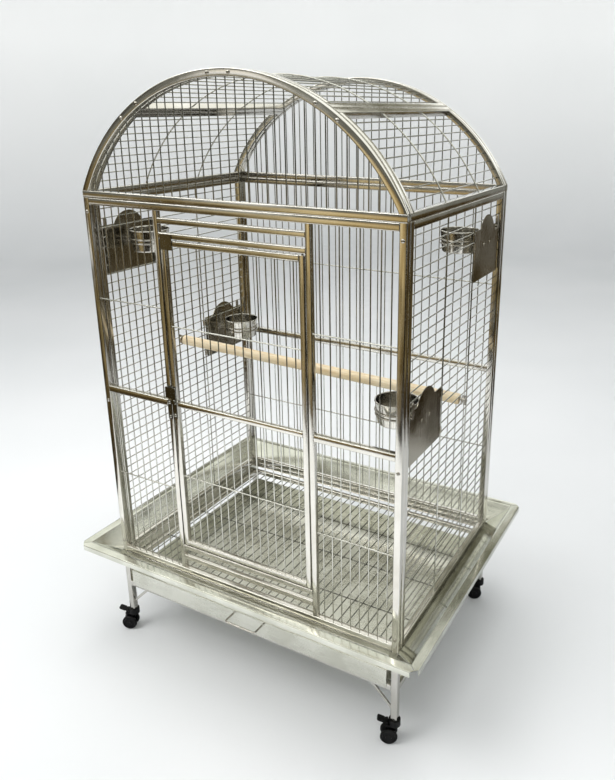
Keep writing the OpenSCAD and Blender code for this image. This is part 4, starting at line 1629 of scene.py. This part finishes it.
@dataclass(frozen=True)
class SoftBox:
    """A large soft lamp.

    Attributes:
        name: name of the lamp.
        place: its place in metres.
        aim: the point it looks at.
        size: width and height in metres.
        power: light output in watts.
    """

    name: str
    place: Point
    aim: Point
    size: Span
    power: float

    def build(self) -> None:
        """Makes the lamp."""
        data = bpy.data.lights.new(self.name, "AREA")
        data.shape = "RECTANGLE"
        data.size, data.size_y = self.size
        data.energy = self.power
        lamp = bpy.data.objects.new(self.name, data)
        bpy.context.scene.collection.objects.link(lamp)
        away = unit(np.subtract(self.place, self.aim))
        right = unit(np.cross(Z_AXIS, away))
        lamp.matrix_world = aimed(right, np.cross(away, right), away, self.place)


@dataclass(frozen=True)
class RoomCard:
    """A flat card that only reflections see.

    Attributes:
        name: name of the card.
        corner: one corner in metres.
        first: first edge in metres.
        second: second edge.
        tone: its finish.
        steps: points along each edge.
    """

    name: str
    corner: Point
    first: Point
    second: Point
    tone: RoomTone = ROOM
    steps: int = 5

    def build(self) -> None:
        """Lays out the card as corner + u * first + v * second."""
        step = np.linspace(0, 1, self.steps)
        u, v = np.meshgrid(step, step, indexing="ij")
        points = np.array(self.corner) + stacked(u, v).reshape(-1, 2) @ np.array([self.first, self.second])
        faces = grid_faces(self.steps, self.steps, step, np.linspace(0, 1, self.steps + 1), False)
        made = SHOP.new_object(self.name, Shell(points / MM, [faces]), self.tone)
        made.visible_camera = made.visible_diffuse = made.visible_transmission = False
        made.visible_shadow = made.visible_volume_scatter = False


@dataclass
class Studio:
    """Pale round studio, soft lamps and a camera that stands where the cage was photographed from."""

    picture: Tuple[int, int] = (615, 780)
    focal_px: float = 719.18
    axis_px: Span = (354.99, 337.59)
    place: Point = (1.16528, -1.82752, 1.72678)
    yaw: float = -0.4965
    pitch: float = 0.3113
    sensor_mm: float = 36.0
    far_m: float = 60.0
    floor_r: float = 7000.0
    wall_r: float = 9000.0
    wall_h: float = 9000.0
    hole_r: float = 40.0
    flat_steps: int = 24
    bend_steps: int = 12
    turn_steps: int = 96
    sky_tone: str = "#EEF0F2"
    sky_light: float = 0.66
    lamps: Tuple[SoftBox, ...] = (
        SoftBox("key_softbox", (-1.9, -2.4, 4.2), (0, 0, 0.9), (2.6, 2.0), 108.0),
        SoftBox("top_softbox", (0.3, 0.6, 4.8), (0, 0, 0.8), (3.6, 3.0), 100.0),
    )
    cards: Tuple[RoomCard, ...] = (
        RoomCard("room_floor_front", (-6.5, -5.0, 0.003), (6.2, 0, 0), (0, 2.9, 0)),
        RoomCard("room_floor_front_right", (-0.3, -5.0, 0.003), (6.8, 0, 0), (0, 2.9, 0), DARK_ROOM),
        RoomCard("room_floor_left", (-6.5, -2.1, 0.003), (5.2, 0, 0), (0, 1.3, 0)),
        RoomCard("room_floor_far_left", (-6.5, -0.8, 0.003), (4.1, 0, 0), (0, 6.4, 0), DARK_ROOM),
        RoomCard("room_floor_near_right", (2.3, -2.1, 0.003), (4.2, 0, 0), (0, 3.65, 0), DARK_ROOM),
        RoomCard("room_floor_right", (1.0, 1.42, 0.003), (5.5, 0, 0), (0, 4.13, 0)),
        RoomCard("room_wall_front", (-6.5, -5.0, 0), (6.5, 0, 0), (0, 0, 1.05), FAR_WALL),
        RoomCard("room_floor_front_lit", (-2.6, -4.9, 0.005), (2.3, 0, 0), (0, 2.6, 0), FAR_WALL),
        RoomCard("room_wall_front_lit", (-2.9, -4.97, 0.1), (1.9, 0, 0), (0, 0, 1.0), LIT_WALL),
        RoomCard("room_wall_front_high", (-6.5, -5.0, 1.05), (6.5, 0, 0), (0, 0, 2.85), GREY_WALL),
        RoomCard("room_wall_front_right", (0, -5.0, 0), (6.5, 0, 0), (0, 0, 3.9), DARK_ROOM),
        RoomCard("room_wall_left", (-6.5, -5.0, 0), (0, 4.2, 0), (0, 0, 3.6)),
        RoomCard("room_wall_right", (1.9, 5.6, 0), (4.6, -1.0, 0), (0, 0, 0.7)),
        RoomCard("room_wall_right_high", (1.9, 5.6, 0.7), (4.6, -1.0, 0), (0, 0, 2.5), GREY_WALL),
        RoomCard("room_wall_far_left", (-6.5, -0.8, 0), (0, 5.8, 0), (0, 0, 3.6), DARK_ROOM),
        RoomCard("room_wall_near_right", (6.4, -5.0, 0), (0, 6.8, 0), (0, 0, 3.4), DARK_ROOM),
        RoomCard("room_window", (-3.9, -4.95, 1.5), (0.9, 0, 0), (0, 0, 1.1), WINDOW),
        RoomCard("room_ceiling_front", (-6.0, -5.0, 3.9), (12.0, 0, 0), (0, 3.8, 0), CEILING),
        RoomCard("room_ceiling", (-6.5, -1.2, 3.9), (12.5, 0, 0), (0, 5.0, 0), CEILING),
        RoomCard("room_floor_back", (-2.2, 0.9, 0.003), (2.3, 0, 0), (0, 1.7, 0), DARK_ROOM),
        RoomCard("room_ceiling_back", (-6.5, 3.8, 3.9), (12.5, 0, 0), (0, 2.6, 0), DIM_CEILING),
    )

    def build(self) -> None:
        """Makes floor, lamps, cards, sky and camera, and sets the view transform."""
        bpy.context.scene.view_settings.view_transform = "Standard"
        self.floor()
        for lamp in self.lamps:
            lamp.build()
        for card in self.cards:
            card.build()
        self.sky()
        self.camera()

    def floor(self) -> None:
        """Round floor that bends up into a wall: flat, quarter circle and upright, turned about Z."""
        t = np.linspace(0, np.pi / 2, self.bend_steps + 1)[1:]
        bend = self.wall_r - self.floor_r
        flat = stacked(np.linspace(self.hole_r, self.floor_r, self.flat_steps), 0)
        curve = np.stack([self.floor_r + bend * np.sin(t), bend * (1 - np.cos(t))], axis=1)
        profile = np.concatenate([flat, curve, [[self.wall_r, self.wall_h]]])
        shell = revolved(profile[::-1], self.turn_steps)
        caps, cap_uv = shell.faces[1]
        shell.faces[1] = (caps[1:], cap_uv[1:])
        made = SHOP.new_object("studio_floor", shell, PAPER)

    def sky(self) -> None:
        """Even pale light from all round."""
        world = bpy.data.worlds.new("studio_sky")
        bpy.context.scene.world = world
        world.use_nodes = True
        inputs = {"Color": linear(self.sky_tone), "Strength": self.sky_light}
        feed(world.node_tree, world.node_tree.nodes["Background"], inputs)

    def camera(self) -> None:
        """Camera from its place, yaw and pitch; the lens follows from the focal length in picture points."""
        data = bpy.data.cameras.new("camera")
        w, h = self.picture
        longest = max(w, h)
        data.sensor_width = self.sensor_mm
        data.lens = self.focal_px / longest * self.sensor_mm
        data.shift_x = (w / 2 - self.axis_px[0]) / longest
        data.shift_y = -(h / 2 - self.axis_px[1]) / longest
        data.clip_end = self.far_m
        cam = bpy.data.objects.new("camera", data)
        bpy.context.scene.collection.objects.link(cam)
        level = np.array([math.sin(self.yaw), math.cos(self.yaw), 0.0])
        ahead = level * math.cos(self.pitch) - Z_AXIS * math.sin(self.pitch)
        right = np.array([math.cos(self.yaw), -math.sin(self.yaw), 0.0])
        cam.matrix_world = aimed(right, np.cross(right, ahead), -ahead, self.place)
        bpy.context.scene.camera = cam


def main() -> None:
    """Builds the cage's pieces in order, then the studio."""
    logging.basicConfig(level=logging.INFO, format="%(message)s")
    parts = (Stand(), SeedGuards(), Walls(), Dome(), Door(), TrayAndGrate(), Perch(), Feeders(), Castors())
    for part in parts:
        part.build()
    Studio().build()
    bpy.context.view_layer.update()


if __name__ == "__main__":
    main()
